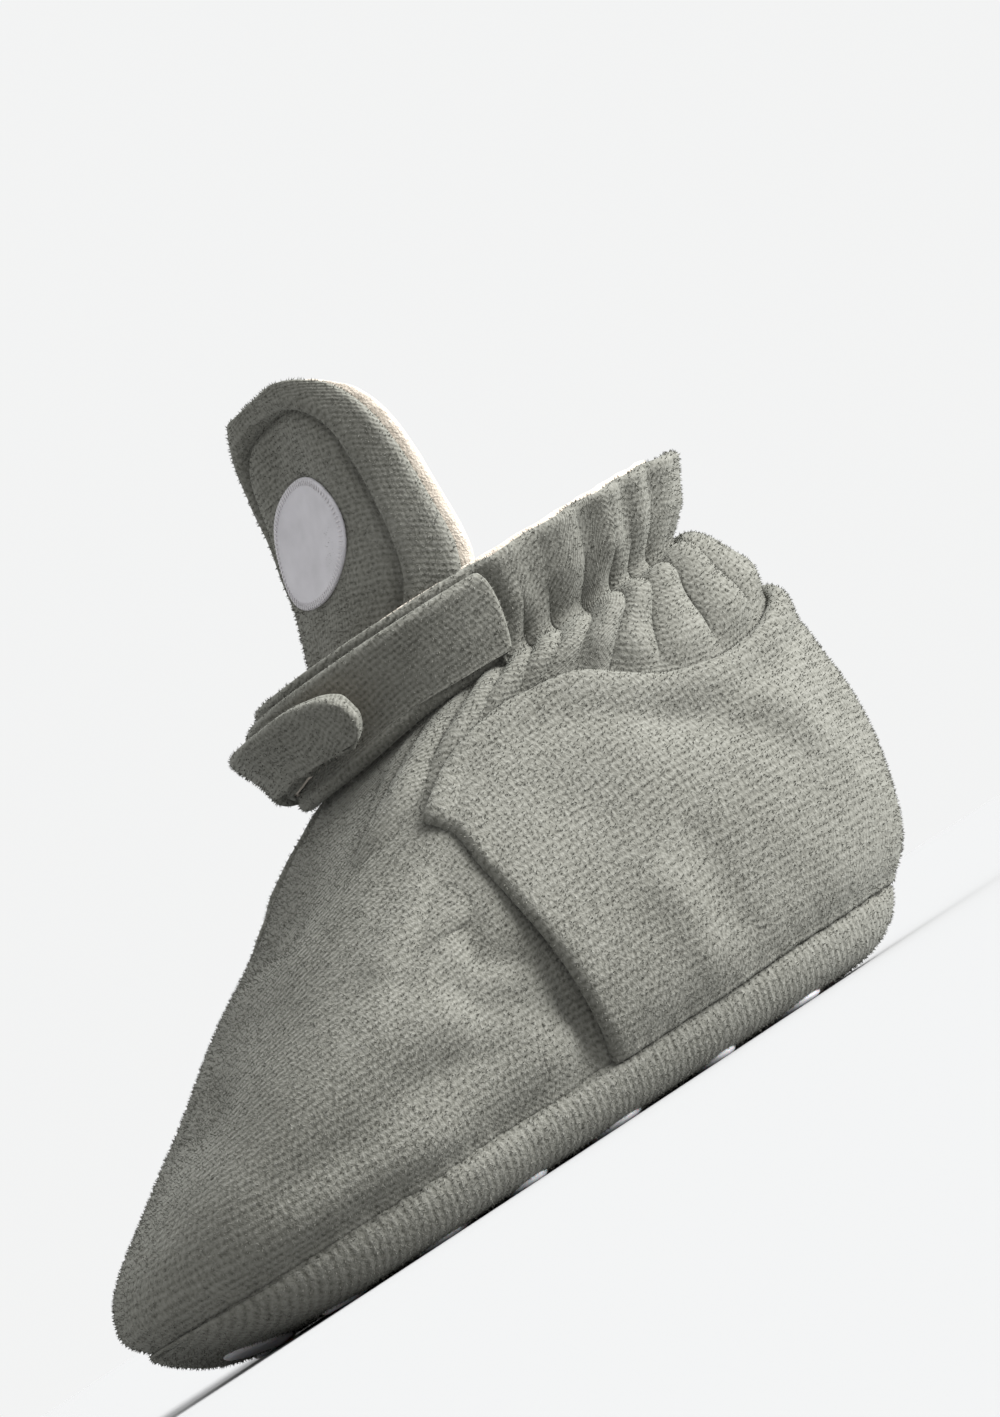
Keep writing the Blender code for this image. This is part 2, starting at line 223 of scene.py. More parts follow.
@dataclass(frozen=True)
class Swell:
    """A smooth bump of one height about a middle."""

    middle: float
    width: float
    height: float = 1.0

    def lift(self, value: Array) -> Array:
        """How high the bump is at each value."""
        return self.height * bell((value - self.middle) / self.width)


@dataclass(frozen=True)
class PanelGrid:
    """A grid of columns and rows for a piece, and the shares of it that the round lips take."""

    columns: int
    rows: int
    side_lip: float
    low_lip: float
    top_lip: float
    # How many shares the lips have at the sides, and below and above
    lip_steps: tuple[int, int] = (5, 5)
    edge: Edge = Edge.OPEN

    def shares(self) -> list[Array]:
        """The share across and the share up of each place."""
        upward = packed_shares(self.rows, self.low_lip, self.top_lip, self.lip_steps[1])
        if self.edge is Edge.ROUND:
            return np.meshgrid(np.arange(self.columns) / self.columns, upward)
        across = packed_shares(self.columns, self.side_lip, self.side_lip, self.lip_steps[0])
        return np.meshgrid(across, upward)

    def fullness(self, share: Array, rise: Array) -> Array:
        """The part of the full thickness at each place, which falls to 0 in the lips."""
        full = lip_profile(rise, self.low_lip, self.top_lip)
        if self.edge is Edge.ROUND:
            return full
        return full * lip_profile(share, self.side_lip, self.side_lip)


@dataclass(frozen=True)
class Puckers:
    """The small even nicks that the sole's seam pulls into the cloth beside it."""

    depth: float
    phase: float = 0.0
    sway: float = 0.0
    pitch: float = 3.6
    slant: float = 0.35
    sway_length: float = 9.0

    def depth_at(self, points: Array) -> Array:
        """How deep the nicks are at each point."""
        around = points[..., 1] + self.slant * points[..., 0]
        phase = self.phase + self.sway * np.sin(around / self.sway_length)
        return self.depth * (0.5 + 0.5 * np.sin(around * FULL_TURN / self.pitch + phase)) ** 2


@dataclass(frozen=True)
class Rounds:
    """Even waves round the foot."""

    count: float
    start: float
    height: float = 1.0

    def lift(self, way: Array) -> Array:
        """How high the waves are at each share of the walk round the foot."""
        return self.height * np.sin(FULL_TURN * (self.count * way + self.start))


@dataclass(frozen=True)
class Pleats:
    """Round ridges with sharp valleys round the ankle, uneven in width and height."""

    count: float
    # How sharp the valleys are: 1 for a cosine's, less for sharper ones
    sharpness: float
    sways: tuple[Rounds, ...] = (Rounds(3.0, 0.17, 0.28), Rounds(7.0, 0.6, 0.13))
    slant: Rounds = Rounds(5.0, 0.3, 0.9)
    slant_level: float = 0.8
    spread: float = 0.22
    spreads: tuple[Rounds, Rounds] = (Rounds(11.0, 0.4), Rounds(2.0, 0.1))

    def ridges(self, way: Array, level: Array) -> Array:
        """How high the pleats are, from 0 in a valley to about 1 on a ridge.

        Args:
            way: shares of the walk round the foot.
            level: shares of the way up.

        Returns:
            A share for each place.
        """
        run = self.count * way + sum(sway.lift(way) for sway in self.sways)
        run = run + self.slant.lift(way) * (level - self.slant_level)
        first, second = self.spreads
        uneven = 1.0 - self.spread + self.spread * first.lift(way) * second.lift(way)
        return uneven * np.abs(np.cos(np.pi * run)) ** self.sharpness


@dataclass(frozen=True)
class Last:
    """The foot shape that every piece is drawn on, in shares of its length, ball width and ankle height."""

    length: float = 128.0
    ball_width: float = 52.0
    ankle_height: float = 58.0
    toe_round: float = 2.35
    heel_round: float = 2.9
    side_round: float = 2.0
    # Columns: toe, heel, left, right, left and right wide places, toe height, side height, heel height
    sections: Rows = (
        (-0.488, 0.445, 0.481, 0.490, -0.156, -0.133, 0.138, 0.129, 0.138),
        (-0.504, 0.480, 0.538, 0.548, -0.148, -0.117, 0.190, 0.207, 0.224),
        (-0.488, 0.508, 0.567, 0.548, -0.125, -0.078, 0.267, 0.345, 0.397),
        (-0.434, 0.516, 0.558, 0.510, -0.078, -0.008, 0.353, 0.491, 0.586),
        (-0.348, 0.512, 0.519, 0.462, -0.016, 0.055, 0.466, 0.629, 0.741),
        (-0.254, 0.500, 0.471, 0.423, 0.055, 0.102, 0.603, 0.767, 0.871),
        (-0.152, 0.480, 0.423, 0.385, 0.133, 0.156, 0.741, 0.871, 0.957),
        (-0.055, 0.461, 0.394, 0.385, 0.203, 0.203, 0.879, 0.940, 1.000),
        (-0.004, 0.449, 0.375, 0.375, 0.211, 0.211, 0.957, 0.983, 1.017),
        (-0.004, 0.473, 0.423, 0.423, 0.219, 0.219, 1.060, 1.078, 1.103),
        (-0.023, 0.492, 0.471, 0.471, 0.219, 0.219, 1.172, 1.172, 1.181),
    )
    surface_step: float = 0.003
    even_level: float = 0.7
    even_steps: int = 7200

    @cached_property
    def even_ways(self) -> tuple[Array, Array]:
        """Turns round the foot, and the share of the walk round it up to each of them."""
        turns = np.linspace(0.0, 1.0, self.even_steps + 1)
        points = self.place(turns, np.full_like(turns, self.even_level))
        walked = np.cumsum(np.linalg.norm(np.diff(points, axis=0), axis=1))
        return turns, np.concatenate(((0.0,), walked / walked[-1]))

    def way(self, turn: Array) -> Array:
        """The share of the walk round the foot at each turn."""
        turns, ways = self.even_ways
        return np.floor(turn) + np.interp(turn - np.floor(turn), turns, ways)

    def turn_at(self, way: Array) -> Array:
        """The turn at each share of the walk round the foot."""
        turns, ways = self.even_ways
        return np.floor(way) + np.interp(way - np.floor(way), ways, turns)

    def place(self, turn: Array, level: Array) -> Array:
        """Points of the smooth outside.

        Args:
            turn: shares of the way round.
            level: shares of the way up, of the same shape.

        Returns:
            Points in millimetres on a new last axis.
        """
        row = rows_at(np.array(self.sections), level)
        toward_toe = np.cos(FULL_TURN * turn)
        toward_side = np.sin(FULL_TURN * turn)
        on_left = toward_side >= 0.0
        on_toe = toward_toe >= 0.0
        side = np.where(on_left, row[..., 2], row[..., 3]) * self.ball_width
        wide = np.where(on_left, row[..., 4], row[..., 5]) * self.length
        tip = np.where(on_toe, row[..., 0], row[..., 1]) * self.length
        x = side * np.sign(toward_side) * np.abs(toward_side) ** (2.0 / self.side_round)
        roundness = np.where(on_toe, self.toe_round, self.heel_round)
        y = wide + (tip - wide) * np.abs(toward_toe) ** (2.0 / roundness)
        tip_z = np.where(on_toe, row[..., 6], row[..., 8])
        z = (row[..., 7] + (tip_z - row[..., 7]) * toward_toe**2) * self.ankle_height
        return np.stack((x, y, z), axis=-1)

    def outward(self, turn: Array, level: Array) -> Array:
        """Unit directions away from the foot at each place."""
        step = self.surface_step
        along = self.place(turn + step, level) - self.place(turn - step, level)
        above = self.place(turn, np.minimum(level + step, 1.0))
        upward = above - self.place(turn, np.maximum(level - step, 0.0))
        across = np.cross(along, upward)
        return across / (np.linalg.norm(across, axis=-1, keepdims=True) + TINY)

    def off(self, turn: Array, level: Array, distance: Array | float) -> Array:
        """Points a distance outward from the smooth outside."""
        return self.place(turn, level) + self.outward(turn, level) * np.asarray(distance)[..., None]


LAST = Last()


@dataclass(frozen=True)
class Fold:
    """One soft crease laid along places of the upper, sunk where its height is negative."""

    places: Pairs
    width: float
    height: float

    samples: int = 48
    taper: float = 0.22

    def lift(self, points: Array) -> Array:
        """How far each point of a piece moves outward for this crease.

        Args:
            points: any grid of points in millimetres.

        Returns:
            A distance for each point.
        """
        shares = np.linspace(0.0, 1.0, self.samples)
        route = rows_at(np.array(self.places), shares)
        line = LAST.place(route[:, 0], route[:, 1])
        strength = smooth_step(shares / self.taper) * smooth_step((1.0 - shares) / self.taper)
        flat = points.reshape(-1, 3)
        best = np.zeros(len(flat))
        for spot, part in zip(line, strength):
            near = part * bell(np.linalg.norm(flat - spot, axis=1) / self.width)
            best = np.maximum(best, near)
        return self.height * best.reshape(points.shape[:-1])


@dataclass(frozen=True)
class Waves:
    """Small uneven swells that keep cloth from being perfectly even, the same in each run."""

    seed: int
    height: float
    longest: float
    count: int = 14
    shortest_share: float = 0.35
    latest_phase: float = 6.3

    def lift(self, points: Array) -> Array:
        """How far each point moves outward."""
        chance = np.random.default_rng(self.seed)
        total = np.zeros(points.shape[:-1])
        for _ in range(self.count):
            heading = chance.normal(size=3)
            heading /= np.linalg.norm(heading)
            length = self.longest * chance.uniform(self.shortest_share, 1.0)
            phase = chance.uniform(0.0, self.latest_phase)
            total += np.sin(points @ heading * FULL_TURN / length + phase)
        return self.height * total / math.sqrt(self.count)


def in_metres(points: Array) -> list[list[float]]:
    """Points about the model's middle, in metres."""
    return ((points - MIDDLE) * MM).tolist()


def placed(name: str, data: bpy.types.ID) -> Piece:
    """An object with its data, linked to the scene at the origin."""
    made = bpy.data.objects.new(name, data)
    bpy.context.scene.collection.objects.link(made)
    return made


def point_carrier(
    name: str, points: Array, edges: list[tuple[int, int]], **values: Array
) -> Piece:
    """An object of bare points that carry values for a rule.

    Args:
        name: the object's name.
        points: count by 3 in millimetres.
        edges: pairs of indices.
        values: a number or a direction for each point, by name.

    Returns:
        The object, linked to the scene at the origin.
    """
    mesh = bpy.data.meshes.new(name)
    mesh.from_pydata(in_metres(points), edges, [])
    for label, given in values.items():
        kind, key = ("FLOAT", "value") if given.ndim == 1 else ("FLOAT_VECTOR", "vector")
        carried = mesh.attributes.new(label, kind, "POINT")
        carried.data.foreach_set(key, given.astype(np.float32).ravel())
    return placed(name, mesh)


def new_object(name: str, points: Array, faces: Array, cloth: Array) -> Piece:
    """Makes a smooth-shaded object from points in millimetres.

    Args:
        name: the piece's plain name.
        points: count by 3.
        faces: count by 4 indices, where a triangle repeats an index.
        cloth: lengths along the cloth for each face's corners, count by 4 by 2.

    Returns:
        The object, linked to the scene at the origin.
    """
    mesh = bpy.data.meshes.new(name)
    mesh.from_pydata(in_metres(points), [], [tuple(dict.fromkeys(face)) for face in faces.tolist()])
    layer = mesh.uv_layers.new(name="cloth")
    corners = [
        cloth[index, face.index(corner)]
        for index, face in enumerate(faces.tolist())
        for corner in dict.fromkeys(face)
    ]
    layer.data.foreach_set("uv", (np.array(corners) * MM).ravel())
    mesh.shade_smooth()
    return placed(name, mesh)


@dataclass
class ClothLayer:
    """A closed layer of cloth with round lips, over rows that go up and columns that go to the left."""

    name: str
    middle: Array
    half: Array
    edge: Edge = Edge.OPEN

    def build(self) -> Piece:
        """Makes the object: a front, a back, and lips where the thickness falls to nothing."""
        rows, columns = self.middle.shape[:2]
        normals = surface_normals(self.middle, self.edge)
        front = self.middle + normals * self.half[..., None]
        back = self.middle - normals * self.half[..., None]
        rim = np.zeros((rows, columns), bool)
        rim[0] = rim[-1] = True
        if self.edge is Edge.OPEN:
            rim[:, 0] = rim[:, -1] = True
        front_index = np.arange(rows * columns).reshape(rows, columns)
        back_index = front_index.copy()
        back_index[~rim] = rows * columns + np.arange(int((~rim).sum()))
        points = np.concatenate((front.reshape(-1, 3), back[~rim]))
        cloth = cloth_lengths(self.middle, self.edge)
        faces, lengths = [], []
        count = columns if self.edge is Edge.ROUND else columns - 1
        here = np.arange(count)
        after = (here + 1) % columns
        around = cloth[:, here], cloth[:, here + 1]
        laid = (around[0][:-1], around[1][:-1], around[1][1:], around[0][1:])
        corner = np.stack(laid, axis=-2).reshape(-1, 4, 2)
        for index, outward in ((front_index, True), (back_index, False)):
            quad = [index[:-1][:, here], index[:-1][:, after], index[1:][:, after], index[1:][:, here]]
            quads = np.stack(quad, axis=-1).reshape(-1, 4)
            faces.append(quads if outward else quads[:, ::-1])
            lengths.append(corner if outward else corner[:, ::-1])
        return new_object(self.name, points, np.concatenate(faces), np.concatenate(lengths))


def loft(name: str, rings: list[Array]) -> Piece:
    """A closed body from rings of the same even number of points, with both ends zipped across.

    Args:
        name: the piece's plain name.
        rings: each count by 3, from the underside round to the top, going to the left from the toe.

    Returns:
        The object.
    """
    count = len(rings[0])
    points = np.concatenate(rings)
    here = np.arange(count)
    after = (here + 1) % count
    faces = []
    for row in range(len(rings) - 1):
        low, high = row * count, (row + 1) * count
        faces.append(np.stack((low + here, low + after, high + after, high + here), axis=-1))
    half = np.arange(count // 2)
    for first, upward in ((0, False), ((len(rings) - 1) * count, True)):
        left, left_after = first + half, first + half + 1
        right = first + (count - half) % count
        right_after = first + count - half - 1
        quads = np.stack((left, left_after, right_after, right), axis=-1)
        faces.append(quads if upward else quads[:, ::-1])
    whole = np.concatenate(faces)
    return new_object(name, points, whole, points[whole][..., :2])


class Recipe:
    """The nodes and links of one finish or one rule, written in short calls."""

    tree: bpy.types.NodeTree

    def feed(self, target: Socket, value: object) -> None:
        """Links a socket into an input, or sets a plain value there."""
        if isinstance(value, Socket):
            self.tree.links.new(value, target)
        else:
            target.default_value = value

    def node(self, kind: str, feeds: Feeds | None = None, **settings: object) -> bpy.types.Node:
        """Adds a node.

        Args:
            kind: the node's type.
            feeds: what goes into its inputs, each a socket or a plain value.
            settings: the node's own properties, which are set first.

        Returns:
            The node.
        """
        made = self.tree.nodes.new(kind)
        for name, value in settings.items():
            setattr(made, name, value)
        for name, value in (feeds or {}).items():
            self.feed(made.inputs[name], value)
        return made


class Shader(Recipe):
    """A material's nodes, with short calls for the few kinds that cloth needs."""

    def __init__(self, name: str) -> None:
        """Starts a material with a Principled surface."""
        self.material = bpy.data.materials.new(name)
        self.material.use_nodes = True
        self.tree = self.material.node_tree
        self.surface = self.tree.nodes["Principled BSDF"]

    @cached_property
    def solid(self) -> Socket:
        """The Object coordinates, in metres."""
        return self.node("ShaderNodeTexCoord").outputs["Object"]

    def maths(self, operation: str, *values: object) -> Socket:
        """A Math node on one to three sockets or numbers."""
        return self.node("ShaderNodeMath", dict(enumerate(values)), operation=operation).outputs[0]

    def noise(self, size: float, detail: float) -> Socket:
        """Soft noise whose spots are about a size in millimetres."""
        feeds = {"Vector": self.solid, "Scale": 1.0 / (size * MM), "Detail": detail}
        return self.node("ShaderNodeTexNoise", feeds).outputs["Fac"]

    def threads(self, place: Socket, pitch: float) -> Socket:
        """Even waves along a coordinate, with a pitch in millimetres."""
        return self.maths("COSINE", self.maths("MULTIPLY", place, FULL_TURN / (pitch * MM)))

    def colour(self, value: Socket, *stops: tuple[float, Colour]) -> None:
        """Colours the surface along a value, from stops of a place and a colour."""
        made = self.node("ShaderNodeValToRGB", {"Fac": value})
        elements = made.color_ramp.elements
        while len(elements) < len(stops):
            elements.new(0.5)
        for element, (position, colour) in zip(elements, stops):
            element.position = position
            element.color = (*colour, 1.0)
        self.feed(self.surface.inputs["Base Color"], made.outputs["Color"])

    def roughness(self, value: Socket, share: float, base: float) -> None:
        """Makes the surface as rough as a base and a share of a value."""
        self.feed(self.surface.inputs["Roughness"], self.maths("MULTIPLY_ADD", value, share, base))

    def constants(self, **values: object) -> None:
        """Sets sockets of the surface, with spaces in their names written as underscores."""
        for name, value in values.items():
            self.surface.inputs[name.replace("_", " ")].default_value = value

    def bump(self, height: Socket, distance: float) -> None:
        """Raises the surface by a height map, whose full height is a distance in millimetres."""
        made = self.node("ShaderNodeBump", {"Distance": distance * MM, "Strength": 1.0, "Height": height})
        self.feed(self.surface.inputs["Normal"], made.outputs["Normal"])


@dataclass(frozen=True)
class PileKnit:
    """Soft knit with a short pile: rows of small loops, a little uneven, painted darker between them as
    shade.
    """

    name: str
    # The dark shade is painted shade for the low places between the loops, and the light one is painted light
    # on the high loop tops
    shades: tuple[Colour, ...] = ((0.050, 0.049, 0.041), (0.118, 0.117, 0.102), (0.165, 0.164, 0.147))
    stops: tuple[float, ...] = (0.26, 0.52, 0.80)
    sheen_tint: Colour = (0.86, 0.88, 0.80)
    loop_width: float = 0.95
    loop_height: float = 1.05
    rib: float = 0.35
    depth: float = 0.34
    wander: float = 0.55
    wander_size: float = 3.2
    fuzz_size: float = 0.42
    cloud_size: float = 11.0
    base: float = 0.24
    lattice_share: float = 0.13
    fuzz_share: float = 0.70
    cloud_share: float = 0.22
    cloud_middle: float = 0.16
    fuzz_gloss: float = -0.12

    def make(self) -> Material:
        """Builds the material on the piece's cloth lengths and on Object coordinates."""
        shader = Shader(self.name)
        along = shader.node("ShaderNodeUVMap", uv_map="cloth").outputs["UV"]
        split = shader.node("ShaderNodeSeparateXYZ", {0: along}).outputs
        drift = shader.maths("MULTIPLY_ADD", shader.noise(self.wander_size, 1.0), self.wander * MM, 0.0)
        loops = shader.threads(shader.maths("ADD", split["X"], drift), self.loop_width)
        rows = shader.threads(shader.maths("ADD", split["Y"], drift), self.loop_height)
        rows_share = shader.maths("MULTIPLY", rows, 1.0 - self.rib)
        lattice = shader.maths("MULTIPLY_ADD", loops, self.rib, rows_share)
        fuzz = shader.noise(self.fuzz_size, 3.0)
        knit = shader.maths("MULTIPLY_ADD", lattice, self.lattice_share, self.base)
        height = shader.maths("MULTIPLY_ADD", fuzz, self.fuzz_share, knit)
        middle = shader.maths("SUBTRACT", height, self.cloud_middle)
        cloud = shader.noise(self.cloud_size, 2.0)
        # The colour follows the bump's height: painted shade where it is low and painted light where it is
        # high, with the cloud's real uneven tone added
        shader.colour(
            shader.maths("MULTIPLY_ADD", cloud, self.cloud_share, middle), *zip(self.stops, self.shades)
        )
        shader.roughness(fuzz, self.fuzz_gloss, 1.0)
        shader.constants(Specular_IOR_Level=0.12, Sheen_Weight=0.16, Sheen_Roughness=0.5)
        shader.constants(Sheen_Tint=(*self.sheen_tint, 1.0))
        shader.bump(height, self.depth)
        return shader.material


@dataclass(frozen=True)
class CreamFleece:
    """The lining: dense pale fleece, soft and nearly even, with faint clumps, painted darker in the hollows
    between them as shade.
    """

    name: str = "cream_fleece_lining"
    # The dark shade is painted shade for the fleece's low places, and the light one is painted light on its
    # high clumps
    shades: tuple[Colour, ...] = ((0.30, 0.26, 0.21), (0.42, 0.372, 0.315), (0.51, 0.465, 0.405))
    stops: tuple[float, ...] = (0.22, 0.50, 0.78)
    sheen_tint: Colour = (1.0, 0.95, 0.88)
    clump_size: float = 1.6
    fuzz_size: float = 0.35
    clump_share: float = 0.55
    fuzz_share: float = 0.45
    fuzz_gloss: float = -0.1
    depth: float = 0.45

    def make(self) -> Material:
        """Builds the material on Object coordinates."""
        shader = Shader(self.name)
        clumps = shader.maths("MULTIPLY", shader.noise(self.clump_size, 3.0), self.clump_share)
        fuzz = shader.noise(self.fuzz_size, 2.0)
        height = shader.maths("MULTIPLY_ADD", fuzz, self.fuzz_share, clumps)
        # The colour follows the bump's height: painted shade where it is low and painted light where it is
        # high
        shader.colour(height, *zip(self.stops, self.shades))
        shader.roughness(fuzz, self.fuzz_gloss, 1.0)
        shader.constants(Specular_IOR_Level=0.1, Sheen_Weight=0.35, Sheen_Roughness=0.6)
        shader.constants(Sheen_Tint=(*self.sheen_tint, 1.0))
        shader.bump(height, self.depth)
        return shader.material


@dataclass(frozen=True)
class MatteSilicone:
    """The grip dots: cast silicone, whitish, a little see-through, with a faint grain."""

    name: str = "matte_silicone_dots"
    shades: tuple[Colour, ...] = ((0.40, 0.40, 0.415), (0.50, 0.50, 0.52))
    stops: tuple[float, ...] = (0.3, 0.7)
    cloud_size: float = 2.4
    grain_size: float = 0.5
    glow_depth: float = 0.6
    gloss: float = 0.38
    grain_gloss: float = 0.2
    depth: float = 0.05

    def make(self) -> Material:
        """Builds the material on Object coordinates."""
        shader = Shader(self.name)
        grain = shader.noise(self.grain_size, 2.0)
        shader.colour(shader.noise(self.cloud_size, 2.0), *zip(self.stops, self.shades))
        shader.roughness(grain, self.grain_gloss, self.gloss)
        shader.constants(Subsurface_Weight=0.25, Subsurface_Scale=self.glow_depth * MM)
        shader.constants(IOR=1.41, Coat_Weight=0.08)
        shader.bump(grain, self.depth)
        return shader.material


@dataclass(frozen=True)
class WovenLabel:
    """The bare oval label: fine satin weave, pale, with a soft gloss."""

    name: str = "woven_label_satin"
    shades: tuple[Colour, ...] = ((0.36, 0.35, 0.37), (0.46, 0.45, 0.475))
    stops: tuple[float, ...] = (0.3, 0.65)
    thread: float = 0.22
    weave_height: float = 0.25
    weave_middle: float = 0.5
    cloud_size: float = 3.0
    cloud_share: float = 0.5
    weave_share: float = 0.5
    weave_gloss: float = 0.15
    gloss: float = 0.5
    depth: float = 0.05

    def make(self) -> Material:
        """Builds the material on Object coordinates."""
        shader = Shader(self.name)
        split = shader.node("ShaderNodeSeparateXYZ", {0: shader.solid}).outputs
        warp, weft = (shader.threads(split[axis], self.thread) for axis in ("X", "Z"))
        crossed = shader.maths("MULTIPLY", warp, weft)
        weave = shader.maths("MULTIPLY_ADD", crossed, self.weave_height, self.weave_middle)
        woven = shader.maths("MULTIPLY", weave, self.weave_share)
        tone = shader.maths("MULTIPLY_ADD", shader.noise(self.cloud_size, 2.0), self.cloud_share, woven)
        shader.colour(tone, *zip(self.stops, self.shades))
        shader.roughness(weave, self.weave_gloss, self.gloss)
        shader.constants(Sheen_Weight=0.15, Specular_IOR_Level=0.35)
        shader.bump(weave, self.depth)
        return shader.material


@dataclass(frozen=True)
class SewingThread:
    """Twisted thread of one colour."""

    name: str
    colour: Colour
    shadow: float = 0.7
    stops: tuple[float, ...] = (0.3, 0.7)
    twist_size: float = 0.18
    depth: float = 0.04

    def make(self) -> Material:
        """Builds the material on Object coordinates."""
        shader = Shader(self.name)
        twist = shader.noise(self.twist_size, 1.0)
        dark = tuple(self.shadow * part for part in self.colour)
        shader.colour(twist, *zip(self.stops, (dark, self.colour)))
        shader.constants(Roughness=0.6, Sheen_Weight=0.2)
        shader.bump(twist, self.depth)
        return shader.material


class Growth(Recipe):
    """A Geometry Nodes tree, run once on a carrier and baked to a plain mesh."""

    kinds = {float: "NodeSocketFloat", int: "NodeSocketInt", Material: "NodeSocketMaterial"}

    def __init__(self, name: str, sizes: dict[str, object]) -> None:
        """Starts a tree with a geometry in and out and a named input for each size."""
        self.tree = bpy.data.node_groups.new(name, "GeometryNodeTree")
        for way in ("INPUT", "OUTPUT"):
            self.tree.interface.new_socket("Geometry", in_out=way, socket_type="NodeSocketGeometry")
        self.values: dict[str, object] = {}
        for label, value in sizes.items():
            made = self.tree.interface.new_socket(label, in_out="INPUT", socket_type=self.kinds[type(value)])
            self.values[made.identifier] = value
        self.inside = self.node("NodeGroupInput").outputs
        self.outside = self.node("NodeGroupOutput").inputs

    def grow_on(self, points: Socket, piece: Socket, **feeds: object) -> None:
        """Sets a piece on points and ends the tree in Realize Instances and Set Material."""
        spots = {"Points": points, "Instance": piece, **feeds}
        placed_pieces = self.node("GeometryNodeInstanceOnPoints", spots).outputs[0]
        real = self.node("GeometryNodeRealizeInstances", {0: placed_pieces}).outputs[0]
        dressed = self.node("GeometryNodeSetMaterial", {"Geometry": real, "Material": self.inside["Finish"]})
        self.feed(self.outside[0], dressed.outputs[0])

    def bake(self, name: str, carrier: Piece, keep: bool) -> Piece:
        """Runs the tree on a carrier and makes its result a plain object.

        Args:
            name: the new piece's name.
            carrier: the object whose mesh goes in.
            keep: whether the carrier stays in the scene.

        Returns:
            The new object, at the origin.
        """
        modifier = carrier.modifiers.new("growth", "NODES")
        modifier.node_group = self.tree
        for identifier, value in self.values.items():
            modifier[identifier] = value
        graph = bpy.context.evaluated_depsgraph_get()
        mesh = bpy.data.meshes.new_from_object(carrier.evaluated_get(graph), depsgraph=graph)
        carrier.modifiers.remove(modifier)
        mesh.name = name
        if not keep:
            bpy.data.objects.remove(carrier)
        return placed(name, mesh)


@dataclass(frozen=True)
class PileFibres:
    """Short loose fibres that stand off the knit and soften its outline."""

    length: float = 0.42
    width: float = 0.085
    density: float = 1.9
    lean: float = 0.75
    seed: int = 7

    def grow(self, name: str, carrier: Piece, material: Material) -> Piece:
        """Grows the fibres on a piece and gives them as a piece of their own."""
        sizes = {
            "Fibre Length": self.length * MM,
            "Fibre Width": self.width * MM,
            "Fibres per Square Metre": self.density / MM**2,
            "Lean": self.lean,
            "Seed": self.seed,
            "Finish": material,
        }
        tree = Growth(name + "_growth", sizes)
        size = tree.inside
        on_faces = {"Mesh": size["Geometry"], "Seed": size["Seed"]}
        on_faces["Density"] = size["Fibres per Square Metre"]
        spread = tree.node("GeometryNodeDistributePointsOnFaces", on_faces).outputs
        spike = {"Vertices": 3, "Radius Top": 0.0, "Radius Bottom": size["Fibre Width"]}
        spike["Depth"] = size["Fibre Length"]
        fibre = tree.node("GeometryNodeMeshCone", spike, fill_type="NONE")
        lowest, highest = (
            tree.node("ShaderNodeVectorMath", {0: (end, end, end), "Scale": size["Lean"]}, operation="SCALE")
            for end in (-1.0, 1.0)
        )
        ends = {0: lowest.outputs[0], 1: highest.outputs[0], "Seed": size["Seed"]}
        tilt = tree.node("FunctionNodeRandomValue", ends, data_type="FLOAT_VECTOR")
        both = {0: spread["Normal"], 1: tilt.outputs[0]}
        heading = tree.node("ShaderNodeVectorMath", both, operation="ADD").outputs[0]
        align = tree.node("FunctionNodeAlignEulerToVector", {"Vector": heading}, axis="Z")
        tree.grow_on(spread["Points"], fibre.outputs["Mesh"], Rotation=align.outputs[0])
        return tree.bake(name, carrier, keep=True)


@dataclass(frozen=True)
class StitchRun:
    """Raised stitches of one length along a line of points."""

    pitch: float = 0.62
    length: float = 1.0
    width: float = 0.26
    turn: float = math.pi / 2.0

    def sew(self, name: str, line: Array, facing: Array, material: Material) -> Piece:
        """Sews along a closed line.

        Args:
            name: the new piece's name.
            line: count by 3 points in millimetres.
            facing: the directions that the stitches' backs face away from, count by 3.
            material: the thread.

        Returns:
            The stitches as one object.
        """
        count = len(line)
        edges = [(index, (index + 1) % count) for index in range(count)]
        carrier = point_carrier(name + "_line", line, edges, facing=facing)
        sizes = {
            "Pitch": self.pitch * MM,
            "Stitch Length": self.length * MM,
            "Thread Width": self.width * MM,
            "Turn": self.turn,
            "Finish": material,
        }
        tree = Growth(name + "_stitching", sizes)
        size = tree.inside
        curve = tree.node("GeometryNodeMeshToCurve", {"Mesh": size["Geometry"]}).outputs[0]
        paced = {"Curve": curve, "Length": size["Pitch"]}
        spots = tree.node("GeometryNodeCurveToPoints", paced, mode="LENGTH")
        ball = tree.node("GeometryNodeMeshIcoSphere", {"Subdivisions": 2, "Radius": 0.5})
        away = tree.node("GeometryNodeInputNamedAttribute", {"Name": "facing"}, data_type="FLOAT_VECTOR")
        first = tree.node("FunctionNodeAlignEulerToVector", {"Vector": away.outputs[0]}, axis="Z")
        along = {"Rotation": first.outputs[0], "Vector": spots.outputs["Tangent"]}
        second = tree.node("FunctionNodeAlignEulerToVector", along, axis="X", pivot_axis="Z")
        turned = {"Rotation": second.outputs[0], "Axis": (0.0, 0.0, 1.0), "Angle": size["Turn"]}
        spin = tree.node("FunctionNodeRotateEuler", turned, space="LOCAL", rotation_type="AXIS_ANGLE")
        sides = {0: size["Stitch Length"], 1: size["Thread Width"], 2: size["Thread Width"]}
        scale = tree.node("ShaderNodeCombineXYZ", sides).outputs[0]
        tree.grow_on(spots.outputs["Points"], ball.outputs["Mesh"], Rotation=spin.outputs[0], Scale=scale)
        return tree.bake(name, carrier, keep=False)


